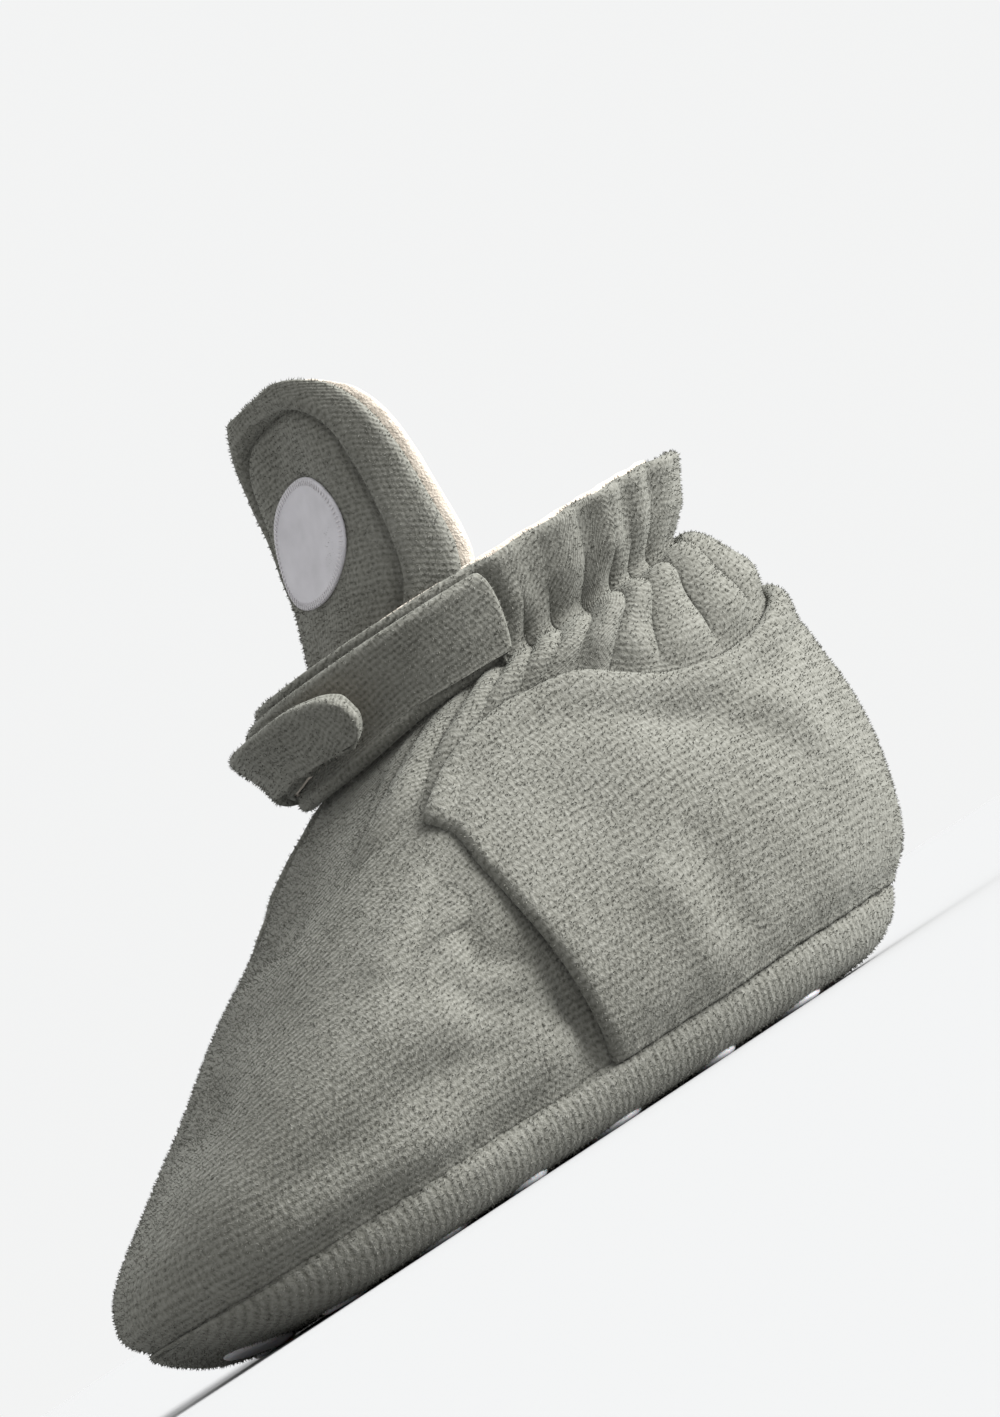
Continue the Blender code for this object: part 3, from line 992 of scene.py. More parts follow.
@dataclass(frozen=True)
class Finishes:
    """Every material of the bootie, made once."""

    upper_knit: Material = field(default_factory=lambda: PileKnit("sage_knit_upper").make())
    sole_knit: Material = field(
        default_factory=lambda: PileKnit("sage_knit_sole", loop_width=0.85, loop_height=1.1, rib=0.3).make()
    )
    cuff_knit: Material = field(
        default_factory=lambda: PileKnit("sage_pile_cuff", loop_width=0.8, loop_height=0.8, depth=0.26).make()
    )
    fleece: Material = field(default_factory=lambda: CreamFleece().make())
    silicone: Material = field(default_factory=lambda: MatteSilicone().make())
    label: Material = field(default_factory=lambda: WovenLabel().make())
    label_thread: Material = field(
        default_factory=lambda: SewingThread("label_thread", (0.50, 0.485, 0.50)).make()
    )


def dress(piece: Piece, material: Material, slot: str, *nodes: str) -> Piece:
    """Gives a piece its material and the body that it rides on, and hides the nodes that it stands for."""
    piece.data.materials.clear()
    piece.data.materials.append(material)
    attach(piece, "root")
    if nodes:
        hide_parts(*nodes)
    return piece


@dataclass
class Upper:
    """The outside of the foot: vamp, quarter, gathered ankle and lining."""

    finishes: Finishes
    vamp_grid: PanelGrid = PanelGrid(190, 80, 0.006, 0.016, 0.014)
    vamp_thickness: float = 1.25
    vamp_waves: Waves = Waves(3, 0.16, 30.0)
    vamp_reach: float = 0.28
    vamp_roll: Swell = Swell(0.0, 0.022, -0.45)
    # Past the side seam the vamp goes under the quarter, and before it it sinks into a hollow
    lap: Slope = Slope(-0.0024, 0.006)
    lap_depth: float = 0.35
    hollow_along: Slope = Slope(-0.0144, 0.016)
    hollow_foot: Slope = Slope(0.0, 0.06)
    hollow_top: Slope = Slope(0.35, -0.08)
    hollow_depth: float = 0.4
    quarter_grid: PanelGrid = PanelGrid(210, 78, 0.0085, 0.036, 0.036, (6, 6))
    quarter_stands_off: float = 1.5
    quarter_thickness: float = 2.6
    quarter_waves: Waves = Waves(11, 0.2, 34.0)
    quarter_roll: Swell = Swell(0.0, 0.03, -0.54)
    rim_roll: Swell = Swell(0.95, 0.04, 0.35)
    rim_dip: Swell = Swell(0.86, 0.05, -0.45)
    front_corner: Swell = Swell(0.0, 0.010, -0.10)
    front_lap: Swell = Swell(0.0, 0.012, 0.3)
    seam_rounds: int = 3
    puckers: Puckers = Puckers(0.16, sway=1.7)
    pucker_reach: Swell = Swell(0.0, 0.045)
    sole_reach: Swell = Swell(0.0, 0.02, -1.0)
    # The gather starts under the quarter's rim, and lower beside the vamp
    gather_grid: PanelGrid = PanelGrid(450, 56, 0.0, 0.03, 0.045, edge=Edge.ROUND)
    gather_waves: Waves = Waves(21, 0.12, 16.0)
    gather_thickness: float = 1.9
    gather_depth: float = 1.35
    under_rim: float = 0.09
    under_vamp: float = 0.33
    beside_vamp: Slope = Slope(0.285, -0.03)
    # It is smooth under the wrap, and puffs between the rim and the pinch behind it
    past_wrap: Slope = Slope(0.192, 0.036)
    below_wrap: Slope = Slope(0.10, 0.05)
    out_of_rim: Slope = Slope(-0.01, 0.05)
    above_rim: Slope = Slope(0.0, 0.06)
    below_pinch: Slope = Slope(0.80, -0.14)
    puff_base: float = 0.4
    puff_height: float = 2.5
    pleats: Pleats = Pleats(30.0, 0.8)
    pinch: Swell = Swell(0.80, 0.05)
    pinch_ridge: float = 1.5
    pinch_depth: float = 1.3
    # Above the pinch the ruffle flares, and its own wider waves take over from the pleats
    ruffle: Slope = Slope(0.80, 0.10)
    ruffle_flare: float = 0.2
    ruffle_fade: float = 0.6
    ruffle_wave: float = 1.1
    collar_waves: Pleats = Pleats(19.0, 2.0)
    collar_edge: Slope = Slope(0.95, 0.05)
    collar_flare: float = 0.35
    lining_grid: PanelGrid = PanelGrid(200, 60, 0.0, 0.02, 0.02, (4, 4), Edge.ROUND)
    lining_waves: Waves = Waves(31, 0.1, 14.0)
    lining_thickness: float = 1.1
    lining_depth: float = 3.0
    lining_foot: float = 0.004
    lining_reach: float = 0.976
    lining_side: Slope = Slope(0.2, 0.06)
    lining_ankle: Slope = Slope(0.5, 0.2)
    lining_pleats: Pleats = Pleats(30.0, 1.2)
    lining_fold: float = 0.55
    lining_collar: Slope = Slope(0.6, 0.2)
    lining_tuck: float = 0.25
    # The seam between vamp and quarter: a level and the place along the foot there, in millimetres
    seam: Pairs = (
        (0.0, -2.6),
        (0.15, -3.5),
        (0.30, -4.6),
        (0.40, -4.9),
        (0.50, -3.4),
        (0.62, 0.6),
    )
    right_seam_shift: float = 3.0
    # The quarter's upper rim: a distance round from the toe and the level there
    rim: Pairs = (
        (0.190, 0.52),
        (0.215, 0.58),
        (0.240, 0.62),
        (0.262, 0.595),
        (0.285, 0.53),
        (0.310, 0.475),
        (0.340, 0.445),
        (0.380, 0.440),
        (0.440, 0.455),
        (0.500, 0.470),
    )
    vamp_top: Pairs = (
        (0.000, 0.70),
        (0.090, 0.695),
        (0.150, 0.64),
        (0.200, 0.53),
        (0.240, 0.455),
        (0.290, 0.42),
    )
    vamp_folds: tuple[Fold, ...] = (
        Fold(((0.110, 0.085), (0.165, 0.095), (0.210, 0.080), (0.236, 0.070)), 2.6, 0.75),
        Fold(((0.130, 0.165), (0.174, 0.160), (0.215, 0.170), (0.245, 0.155), (0.258, 0.150)), 3.0, -0.95),
        Fold(((0.236, 0.262), (0.247, 0.225), (0.257, 0.165), (0.262, 0.110)), 3.0, -1.2),
        Fold(((0.200, 0.250), (0.228, 0.240), (0.246, 0.232)), 3.2, 0.55),
        Fold(((0.262, 0.020), (0.263, 0.100), (0.258, 0.200), (0.246, 0.300), (0.232, 0.400)), 2.4, -1.1),
        Fold(((0.205, 0.300), (0.222, 0.340), (0.232, 0.385)), 1.7, -0.9),
        Fold(((0.190, 0.345), (0.206, 0.385), (0.214, 0.430)), 2.0, 0.6),
        Fold(((-0.120, 0.110), (-0.180, 0.100), (-0.240, 0.090)), 3.2, 0.6),
        Fold(((-0.140, 0.190), (-0.200, 0.180), (-0.250, 0.140)), 3.4, -0.9),
        Fold(((-0.215, 0.330), (-0.235, 0.290), (-0.250, 0.220)), 2.6, -0.9),
        Fold(((0.050, 0.400), (0.000, 0.430), (-0.060, 0.410)), 4.5, -0.6),
        Fold(((0.070, 0.560), (0.010, 0.580), (-0.070, 0.560)), 3.0, -0.7),
    )
    quarter_folds: tuple[Fold, ...] = (
        Fold(((0.290, 0.440), (0.315, 0.385), (0.336, 0.330), (0.357, 0.260)), 3.6, -0.9),
        Fold(((0.320, 0.420), (0.345, 0.370), (0.366, 0.300), (0.378, 0.215)), 3.2, 0.7),
        Fold(((0.284, 0.240), (0.289, 0.190), (0.292, 0.140), (0.297, 0.080)), 2.8, 0.55),
        Fold(((0.300, 0.270), (0.303, 0.200), (0.308, 0.130), (0.316, 0.080)), 3.4, -0.75),
        Fold(((0.400, 0.360), (0.440, 0.340), (0.500, 0.345), (0.560, 0.340)), 4.2, -0.6),
        Fold(((0.640, 0.420), (0.670, 0.330), (0.690, 0.240)), 3.4, -0.9),
        Fold(((0.610, 0.400), (0.640, 0.300), (0.650, 0.200)), 3.4, 0.6),
        Fold(((0.705, 0.260), (0.712, 0.170), (0.708, 0.090)), 3.0, -0.7),
    )

    def side(self, turn: Array) -> Array:
        """How far round each place is from the toe, 0 at the toe and 0.5 at the heel."""
        return np.abs((turn + HEEL) % 1.0 - HEEL)

    def front(self, turn: Array, level: Array) -> Array:
        """How far round from the toe the side seam is.

        Args:
            turn: places round the foot, which say the side.
            level: the levels there.

        Returns:
            The seam's share of the way round at each level.
        """
        row = rows_at(np.array(LAST.sections), level)
        on_left = turn % 1.0 < HEEL
        wide = np.where(on_left, row[..., 4], row[..., 5]) * LAST.length
        past = through(self.seam, level) + np.where(on_left, 0.0, self.right_seam_shift) - wide
        behind = past > 0.0
        reach = np.where(behind, row[..., 1], row[..., 0]) * LAST.length - wide
        power = np.where(behind, LAST.heel_round, LAST.toe_round) / 2.0
        return SIDE + np.sign(past) * np.arcsin(np.abs(past / reach) ** power) / FULL_TURN

    def past_seam(self, turn: Array, level: Array) -> Array:
        """How far round each place is behind the side seam."""
        return self.side(turn) - self.front(turn, level)

    def panel_lift(self, base: Array, level: Array, waves: Waves, folds: tuple[Fold, ...]) -> Array:
        """How far a panel moves outward for its swells, its seam's puckers and its folds."""
        lift = waves.lift(base) - self.puckers.depth_at(base) * self.pucker_reach.lift(level)
        return lift + sum(fold.lift(base) for fold in folds)

    def panel(
        self,
        name: str,
        grid: PanelGrid,
        share: Array,
        rise: Array,
        turn: Array,
        level: Array,
        off: Array,
        thickness: float,
    ) -> Piece:
        """A panel whose lowest rows are drawn down until they meet the sole's rolled rim.

        Args:
            name: the piece's plain name.
            grid: how it is drawn.
            share: the grid's shares across.
            rise: the grid's shares up.
            turn: where each place is round the foot.
            level: where each place is up the foot.
            off: how far its middle stands off the foot.
            thickness: its full thickness.

        Returns:
            The panel, dressed.
        """
        middle = LAST.off(turn, level, off)
        middle[..., 2] += self.sole_reach.lift(level)
        piece = ClothLayer(name, middle, grid.fullness(share, rise) * thickness / 2.0).build()
        return dress(piece, self.finishes.upper_knit, "pile_knit", "upper")

    def vamp(self) -> Piece:
        """The front panel, from seam to seam over the toes."""
        share, rise = self.vamp_grid.shares()
        first, last = LAST.way(np.array((-self.vamp_reach, self.vamp_reach)))
        turn = LAST.turn_at(first + (last - first) * share)
        level = rise * through(self.vamp_top, self.side(turn))
        base = LAST.place(turn, level)
        past = self.past_seam(turn, level)
        hollow = self.hollow_foot.at(level) * self.hollow_top.at(level) * self.hollow_along.at(past)
        off = self.panel_lift(base, level, self.vamp_waves, self.vamp_folds) - self.vamp_thickness / 2.0
        off = off + self.vamp_roll.lift(level) - self.lap_depth * self.lap.at(past)
        off = off - self.hollow_depth * hollow
        return self.panel("vamp_panel", self.vamp_grid, share, rise, turn, level, off, self.vamp_thickness)

    def quarter(self) -> Piece:
        """The panel from side seam to side seam round the heel, which laps over the vamp."""
        share, rise = self.quarter_grid.shares()
        level = rise * through(self.rim, self.side(SIDE + HEEL * share))
        for _ in range(self.seam_rounds):
            left = self.front(np.full_like(level, SIDE), level)
            right = self.front(np.full_like(level, 1.0 - SIDE), level)
            first, last = LAST.way(left), LAST.way(1.0 - right)
            turn = LAST.turn_at(first + (last - first) * share)
            corner = 1.0 + self.front_corner.lift(self.past_seam(turn, level))
            level = rise * through(self.rim, self.side(turn)) * corner
        base = LAST.place(turn, level)
        off = self.panel_lift(base, level, self.quarter_waves, self.quarter_folds)
        off = off + self.quarter_stands_off - self.quarter_thickness / 2.0 + self.quarter_roll.lift(level)
        off = off + self.rim_roll.lift(rise) + self.rim_dip.lift(rise)
        off = off + self.front_lap.lift(self.past_seam(turn, level))
        grid, thickness = self.quarter_grid, self.quarter_thickness
        return self.panel("quarter_panel", grid, share, rise, turn, level, off, thickness)

    def gather(self) -> Piece:
        """The elastic ankle: puffs below the pinch, and a ruffle that flares above it."""
        way, rise = self.gather_grid.shares()
        turn = LAST.turn_at(way)
        side = self.side(turn)
        rim = through(self.rim, side)
        lowest = rim - self.under_rim
        lowest = lowest + (self.under_vamp - lowest) * self.beside_vamp.at(side)
        level = lowest + (1.0 - lowest) * rise
        gathered = self.past_wrap.at(side)
        ruffle = self.ruffle.at(level)
        puff = self.above_rim.at(level - rim) * self.below_pinch.at(level)
        folds = self.pleats.ridges(way, level)
        waves = self.collar_waves.ridges(way, level)
        pinched = self.pinch.lift(level) * (self.pinch_ridge * folds - self.pinch_depth)
        flared = self.ruffle_flare + folds * (1.0 - self.ruffle_fade * ruffle)
        flared = flared + self.ruffle_wave * waves * ruffle
        off = self.gather_waves.lift(LAST.place(turn, level)) - self.gather_depth
        puffed = self.puff_base * self.out_of_rim.at(level - rim) + self.puff_height * puff * folds
        off = off + self.below_wrap.at(side) * puffed + gathered * (pinched + ruffle * flared)
        off = off + self.collar_flare * self.collar_edge.at(level)
        half = self.gather_grid.fullness(way, rise) * self.gather_thickness / 2.0
        piece = ClothLayer("ankle_gather", LAST.off(turn, level, off), half, Edge.ROUND).build()
        return dress(piece, self.finishes.cuff_knit, "pile_knit", "upper")

    def lining(self) -> Piece:
        """The fleece inside, from the sole's seam to just under the collar."""
        way, rise = self.lining_grid.shares()
        turn = LAST.turn_at(way)
        level = self.lining_foot + self.lining_reach * rise
        gathered = self.lining_side.at(self.side(turn)) * self.lining_ankle.at(level)
        valleys = 1.0 - self.lining_pleats.ridges(way, level)
        off = self.lining_waves.lift(LAST.place(turn, level)) - self.lining_depth
        off = off - self.lining_fold * gathered * valleys - self.lining_tuck * self.lining_collar.at(level)
        half = self.lining_grid.fullness(way, rise) * self.lining_thickness / 2.0
        piece = ClothLayer("upper_lining", LAST.off(turn, level, off), half, Edge.ROUND).build()
        return dress(piece, self.finishes.fleece, "cream_fleece", "upper")

    def build(self) -> list[Piece]:
        """Makes every layer of the upper."""
        return [self.vamp(), self.quarter(), self.gather(), self.lining()]


@dataclass
class Sole:
    """The padded knit tray, the fleece insole and the grip dots."""

    finishes: Finishes
    ground: float = 0.45
    thickness: float = 3.55
    gap: float = 0.05
    insole_gap: float = 0.35
    flat_toe: float = -42.0
    flat_heel: float = 40.0
    toe_spring: float = 0.014
    heel_spring: float = 0.010
    spine_toe: float = -22.0
    spine_heel: float = 30.0
    columns: int = 320
    puckers: Puckers = Puckers(0.18, phase=2.4)
    pucker_reach: Slope = Slope(0.6, 0.3)
    lip_inset: float = 1.2
    lip_height: float = 1.0
    # Inset from the seam and share of the way up to it, from the seam round to the underside
    outside: Pairs = (
        (0.0, 1.0),
        (-0.4, 0.70),
        (0.7, 0.36),
        (2.6, 0.12),
        (5.5, 0.0),
        (10.5, 0.0),
    )
    inside: Pairs = ((2.4, 1.0), (3.0, 0.60), (4.6, 0.20), (7.4, 0.0))
    outside_shares: tuple[float, float, int] = (0.12, 1.0, 20)
    inside_shares: tuple[float, float, int] = (0.25, 1.0, 8)
    lip_steps: int = 9
    underside_rings: tuple[float, ...] = (0.1, 0.35, 0.6, 0.8)
    floor_rings: tuple[float, ...] = (0.75, 0.5, 0.2)
    insole_inset: float = 7.4
    insole_thickness: float = 1.6
    insole_lip: float = 0.8
    insole_lip_steps: int = 7
    insole_crown: float = 0.3
    insole_waves: Waves = Waves(41, 0.08, 18.0)
    insole_under: tuple[float, ...] = (0.1, 0.5, 0.9)
    insole_over: tuple[float, ...] = (0.94, 0.8, 0.6, 0.4, 0.2, 0.06)
    dot_height: float = 0.55
    dot_flatness: float = 1.7
    dot_segments: int = 40
    dot_rings: int = 14
    # Place of each dot and its radius
    dots: tuple[Triple, ...] = (
        (-1.5, -50.9, 4.5),
        (11.5, -44.3, 3.1),
        (-14.5, -42.7, 3.1),
        (-1.0, -35.6, 4.5),
        (15.0, -31.0, 4.5),
        (-17.0, -27.9, 4.5),
        (6.0, -21.1, 3.1),
        (-7.5, -20.7, 3.1),
        (18.2, -18.3, 3.1),
        (-18.5, -14.7, 3.1),
        (-0.9, -7.9, 4.5),
        (16.5, -3.3, 4.5),
        (-16.6, -0.5, 4.5),
        (6.1, 7.7, 3.1),
        (-4.7, 10.2, 4.5),
        (17.0, 13.8, 3.1),
        (-15.7, 14.0, 3.1),
        (1.7, 23.7, 3.1),
        (13.0, 29.2, 4.5),
        (-10.3, 29.7, 4.5),
        (0.7, 42.9, 4.5),
    )

    def spring(self, y: Array) -> Array:
        """How far the underside lifts off the floor at the toe and at the heel."""
        toe = np.maximum(self.flat_toe - y, 0.0)
        heel = np.maximum(y - self.flat_heel, 0.0)
        return self.toe_spring * toe**2 + self.heel_spring * heel**2

    def ring(self, inset: float, rise: float, base: float, drop: float = 0.0) -> Array:
        """One ring of the tray.

        Args:
            inset: how far in from the seam.
            rise: the share of the way up to the seam.
            base: the height of the floor that the rise starts from.
            drop: how far below the seam the ring stays at its top.

        Returns:
            Points in millimetres.
        """
        turn = np.arange(self.columns) / self.columns
        edge = LAST.place(turn, np.zeros_like(turn))
        facing = LAST.outward(turn, np.zeros_like(turn))
        facing[:, 2] = 0.0
        facing /= np.linalg.norm(facing, axis=1, keepdims=True)
        nick = self.puckers.depth_at(edge) * self.pucker_reach.at(np.array(rise))
        place = edge - facing * (inset + nick)[:, None]
        bottom = base + self.spring(place[:, 1])
        place[:, 2] = bottom + (edge[:, 2] - self.gap - drop - bottom) * rise
        return place

    def wall(self, table: Pairs, shares: tuple[float, float, int], base: float) -> list[Array]:
        """Rings along a table of insets and rises, at even shares of the way through it."""
        places = (rows_at(np.array(table), np.array(share)) for share in np.linspace(*shares))
        return [self.ring(*place, base) for place in places]

    def toward_spine(self, ring: Array, share: float, height: float) -> Array:
        """A ring drawn in toward the sole's middle line, at a height plus the spring."""
        spine = np.zeros_like(ring)
        spine[:, 1] = np.clip(ring[:, 1], self.spine_toe, self.spine_heel)
        drawn = spine + (ring - spine) * share
        drawn[:, 2] = height + self.spring(drawn[:, 1])
        return drawn

    def tray(self) -> Piece:
        """The sole itself, rolled up to the seam."""
        floor = self.ground + self.thickness
        outside = self.wall(self.outside, self.outside_shares, self.ground)
        inside = self.wall(self.inside, self.inside_shares, floor)
        lip = []
        for angle in np.linspace(0.0, math.pi, self.lip_steps):
            inset = self.lip_inset * (1.0 - math.cos(angle))
            lip.append(self.ring(inset, 1.0, self.ground, self.lip_height * (1.0 - math.sin(angle))))
        bottom = [self.toward_spine(outside[-1], share, self.ground) for share in self.underside_rings]
        fill = [self.toward_spine(inside[-1], share, floor) for share in self.floor_rings]
        piece = loft("sole_panel", bottom + outside[::-1] + lip + inside + fill)
        return dress(piece, self.finishes.sole_knit, "pile_knit", "sole")

    def insole(self) -> Piece:
        """The loose fleece layer on the floor inside."""
        low = self.ground + self.thickness + self.insole_gap
        outline = self.ring(self.insole_inset, 0.0, low)
        rings = [self.toward_spine(outline, share, low) for share in self.insole_under]
        for angle in np.linspace(-math.pi / 2.0, math.pi / 2.0, self.insole_lip_steps):
            one = self.ring(self.insole_inset + self.insole_lip * (1.0 - math.cos(angle)), 0.0, low)
            one[:, 2] += self.insole_thickness * (0.5 + 0.5 * math.sin(angle))
            rings.append(one)
        for share in self.insole_over:
            one = self.toward_spine(outline, share, low + self.insole_thickness)
            one[:, 2] += self.insole_crown * (1.0 - share) + self.insole_waves.lift(one)
            rings.append(one)
        return dress(loft("insole_fleece", rings), self.finishes.fleece, "cream_fleece", "insole")

    def grip_dots(self) -> Piece:
        """The flat silicone dots, grown as one rule on the dots' places."""
        x, y, radius = np.array(self.dots).T
        slope = self.spring(y + 0.5) - self.spring(y - 0.5)
        spots = np.stack((x, y, self.dot_height + self.spring(y)), axis=1)
        facing = np.stack((np.zeros_like(slope), -slope, np.ones_like(slope)), axis=1)
        carrier = point_carrier("dot_places", spots, [], dot_radius=radius * MM, facing=facing)
        sizes = {
            "Flatness": self.dot_flatness,
            "Half Height": self.dot_height * MM,
            "Finish": self.finishes.silicone,
        }
        tree = Growth("grip_dot_rule", sizes)
        size = tree.inside
        fineness = {"Segments": self.dot_segments, "Rings": self.dot_rings, "Radius": 1.0}
        ball = tree.node("GeometryNodeMeshUVSphere", fineness).outputs["Mesh"]
        spot = tree.node("GeometryNodeInputPosition").outputs[0]
        parts = tree.node("ShaderNodeSeparateXYZ", {0: spot}).outputs
        stretched = {0: parts["Z"], 1: size["Flatness"]}
        flat = tree.node("ShaderNodeMath", stretched, operation="MULTIPLY").outputs[0]
        held = tree.node("ShaderNodeClamp", {"Value": flat, "Min": -1.0, "Max": 1.0}).outputs[0]
        whole = tree.node("ShaderNodeCombineXYZ", {0: parts["X"], 1: parts["Y"], 2: held}).outputs[0]
        cap = tree.node("GeometryNodeSetPosition", {"Geometry": ball, "Position": whole}).outputs[0]
        named = tree.node("GeometryNodeInputNamedAttribute", {"Name": "dot_radius"}, data_type="FLOAT")
        wide = named.outputs[0]
        scale = tree.node("ShaderNodeCombineXYZ", {0: wide, 1: wide, 2: size["Half Height"]}).outputs[0]
        away = tree.node("GeometryNodeInputNamedAttribute", {"Name": "facing"}, data_type="FLOAT_VECTOR")
        align = tree.node("FunctionNodeAlignEulerToVector", {"Vector": away.outputs[0]}, axis="Z")
        points = tree.node("GeometryNodeMeshToPoints", {"Mesh": size["Geometry"]}).outputs[0]
        tree.grow_on(points, cap, Rotation=align.outputs[0], Scale=scale)
        piece = tree.bake("grip_dots", carrier, keep=False)
        piece.data.shade_smooth()
        names = [f"grip_dot_{index:02d}" for index in range(1, len(self.dots) + 1)]
        return dress(piece, self.finishes.silicone, "silicone", *names)

    def build(self) -> list[Piece]:
        """Makes the tray, the insole and the dots."""
        return [self.tray(), self.insole(), self.grip_dots()]


@dataclass
class Tongue:
    """The padded flap at the front of the shaft, its lining and its bare oval label."""

    finishes: Finishes
    height: float = 54.0
    curl_angle: float = 1.25
    dent_share: float = 0.62
    lean_step: float = 0.01
    face_grid: PanelGrid = PanelGrid(100, 100, 0.035, 0.012, 0.024)
    face_waves: Waves = Waves(51, 0.1, 14.0)
    face_front: float = -0.25
    face_back: float = 1.45
    band_width: float = 6.6
    band_rise: float = 1.25
    # The rolled margin ends in a slope, and a groove runs beside it, both from the margin's inner edge
    band_end: Slope = Slope(0.6, -1.6)
    groove: Swell = Swell(1.1, 0.9, 0.75)
    side_reach: float = 1.25
    edge_blend: float = 3.0
    top_round: float = 0.17
    lining_grid: PanelGrid = PanelGrid(60, 64, 0.03, 0.012, 0.02)
    lining_waves: Waves = Waves(61, 0.08, 12.0)
    lining_depth: float = 2.3
    lining_half: float = 0.95
    lining_spread: float = 1.03
    label_half_width: float = 8.0
    label_half_height: float = 5.5
    label_level: float = 0.60
    label_columns: int = 96
    label_lip_steps: int = 9
    label_lip: float = 0.035
    label_middle: float = -0.45
    label_half: float = 0.3
    label_crown: float = 0.05
    label_under: tuple[float, ...] = (0.1, 0.5, 0.85)
    label_over: tuple[float, ...] = (0.93, 0.88, 0.7, 0.4, 0.1)
    stitch_share: float = 0.93
    stitch_depth: float = -0.78
    # Columns: y, z, x of the middle line, half width, how far the margins curl back, the dent
    table: Rows = (
        (-0.6, 50.0, 0.5, 10.5, 4.0, 0.2),
        (2.8, 57.0, 0.5, 11.5, 6.0, 0.4),
        (4.0, 63.0, 1.0, 14.5, 9.0, 1.0),
        (6.0, 69.0, 1.5, 17.0, 12.5, 1.8),
        (8.7, 76.0, 2.0, 18.5, 13.0, 2.6),
        (12.2, 85.0, 2.5, 18.0, 10.0, 3.0),
        (14.8, 94.0, 3.0, 16.5, 7.0, 2.6),
        (16.6, 99.5, 3.0, 12.5, 3.8, 1.6),
        (17.4, 102.0, 3.0, 7.0, 1.2, 0.8),
    )

    def place(self, across: Array, level: Array, depth: Array | float) -> Array:
        """Points of the tongue.

        Args:
            across: from -1 at the right edge to 1 at the left.
            level: from 0 at the base to 1 at the top.
            depth: how far behind the face.

        Returns:
            Points in millimetres.
        """
        table = np.array(self.table)
        row = rows_at(table, level)
        above = rows_at(table, np.minimum(level + self.lean_step, 1.0))
        lean = above - rows_at(table, np.maximum(level - self.lean_step, 0.0))
        length = np.hypot(lean[..., 0], lean[..., 1]) + TINY
        back_y, back_z = lean[..., 1] / length, -lean[..., 0] / length
        half, curl = row[..., 3], row[..., 4]
        angle = across * self.curl_angle
        reach = 1.0 / math.sin(self.curl_angle)
        drop = 1.0 / (1.0 - math.cos(self.curl_angle))
        inward_x = -np.sin(angle) * curl / np.hypot(curl, half)
        dented = np.minimum(np.abs(across) / self.dent_share, 1.0)
        dent = row[..., 5] * np.cos(0.5 * np.pi * dented) ** 2
        x = row[..., 2] + half * reach * np.sin(angle) + depth * inward_x
        curled = curl * drop * (1.0 - np.cos(angle)) + dent + depth * np.sqrt(1.0 - inward_x**2)
        return np.stack((x, row[..., 0] + back_y * curled, row[..., 1] + back_z * curled), axis=-1)

    def crown(self, across: Array) -> Array:
        """The level of the flap's rounded top edge at each place across it."""
        return 1.0 - self.top_round * np.abs(across) ** 3

    def from_edge(self, across: Array, level: Array) -> Array:
        """The distance in millimetres from the flap's sides and top."""
        half = rows_at(np.array(self.table), level)[..., 3]
        side = (1.0 - np.abs(across)) * half * self.side_reach
        top = (1.0 - level) * self.height
        blend = self.edge_blend
        return -blend * np.log(np.exp(-side / blend) + np.exp(-top / blend))

    def face(self) -> Piece:
        """The knit face with its thick rolled margin."""
        share, rise = self.face_grid.shares()
        across = 2.0 * share - 1.0
        level = rise * self.crown(across)
        inner = self.from_edge(across, level) - self.band_width
        swells = self.face_waves.lift(self.place(across, level, 0.0))
        front = self.face_front - self.band_rise * self.band_end.at(inner) + self.groove.lift(inner) + swells
        half = (self.face_back - front) / 2.0 * self.face_grid.fullness(share, rise)
        middle = self.place(across, level, (front + self.face_back) / 2.0)
        piece = ClothLayer("tongue_face", middle, half).build()
        return dress(piece, self.finishes.cuff_knit, "pile_knit", "tongue")

    def lining(self) -> Piece:
        """The fleece back, which shows as a pale strip along the edges."""
        share, rise = self.lining_grid.shares()
        across = (2.0 * share - 1.0) * self.lining_spread
        level = rise * self.crown(across)
        swells = self.lining_waves.lift(self.place(across, level, self.lining_depth))
        middle = self.place(across, level, self.lining_depth + swells)
        half = self.lining_half * self.lining_grid.fullness(share, rise)
        piece = ClothLayer("tongue_lining", middle, half).build()
        return dress(piece, self.finishes.fleece, "cream_fleece", "tongue")

    def label_ring(self, share: float, depth: float) -> Array:
        """A ring of the oval label, at a share of the way to its edge."""
        angle = FULL_TURN * np.arange(self.label_columns) / self.label_columns
        half = rows_at(np.array(self.table), np.array(self.label_level))[3]
        across = share * self.label_half_width * np.sin(angle) / half
        level = self.label_level - share * self.label_half_height * np.cos(angle) / self.height
        return self.place(across, level, depth)

    def label(self) -> list[Piece]:
        """The bare label and the stitches round its edge."""
        back, front = self.label_middle + self.label_half, self.label_middle - self.label_half
        rings = [self.label_ring(share, back) for share in self.label_under]
        for angle in np.linspace(0.0, math.pi, self.label_lip_steps):
            share = 1.0 - self.label_lip * (1.0 - math.sin(angle))
            rings.append(self.label_ring(share, self.label_middle + self.label_half * math.cos(angle)))
        for share in self.label_over:
            rings.append(self.label_ring(share, front - self.label_crown * (1.0 - share)))
        piece = dress(loft("tongue_label_patch", rings), self.finishes.label, "woven_label", "tongue_label")
        line = self.label_ring(self.stitch_share, self.stitch_depth)
        facing = self.label_ring(self.stitch_share, self.stitch_depth - 1.0) - line
        stitches = StitchRun().sew("label_stitches", line, facing, self.finishes.label_thread)
        return [piece, dress(stitches, self.finishes.label_thread, "woven_label")]

    def build(self) -> list[Piece]:
        """Makes the face, the lining and the label."""
        return [self.face(), self.lining(), *self.label()]


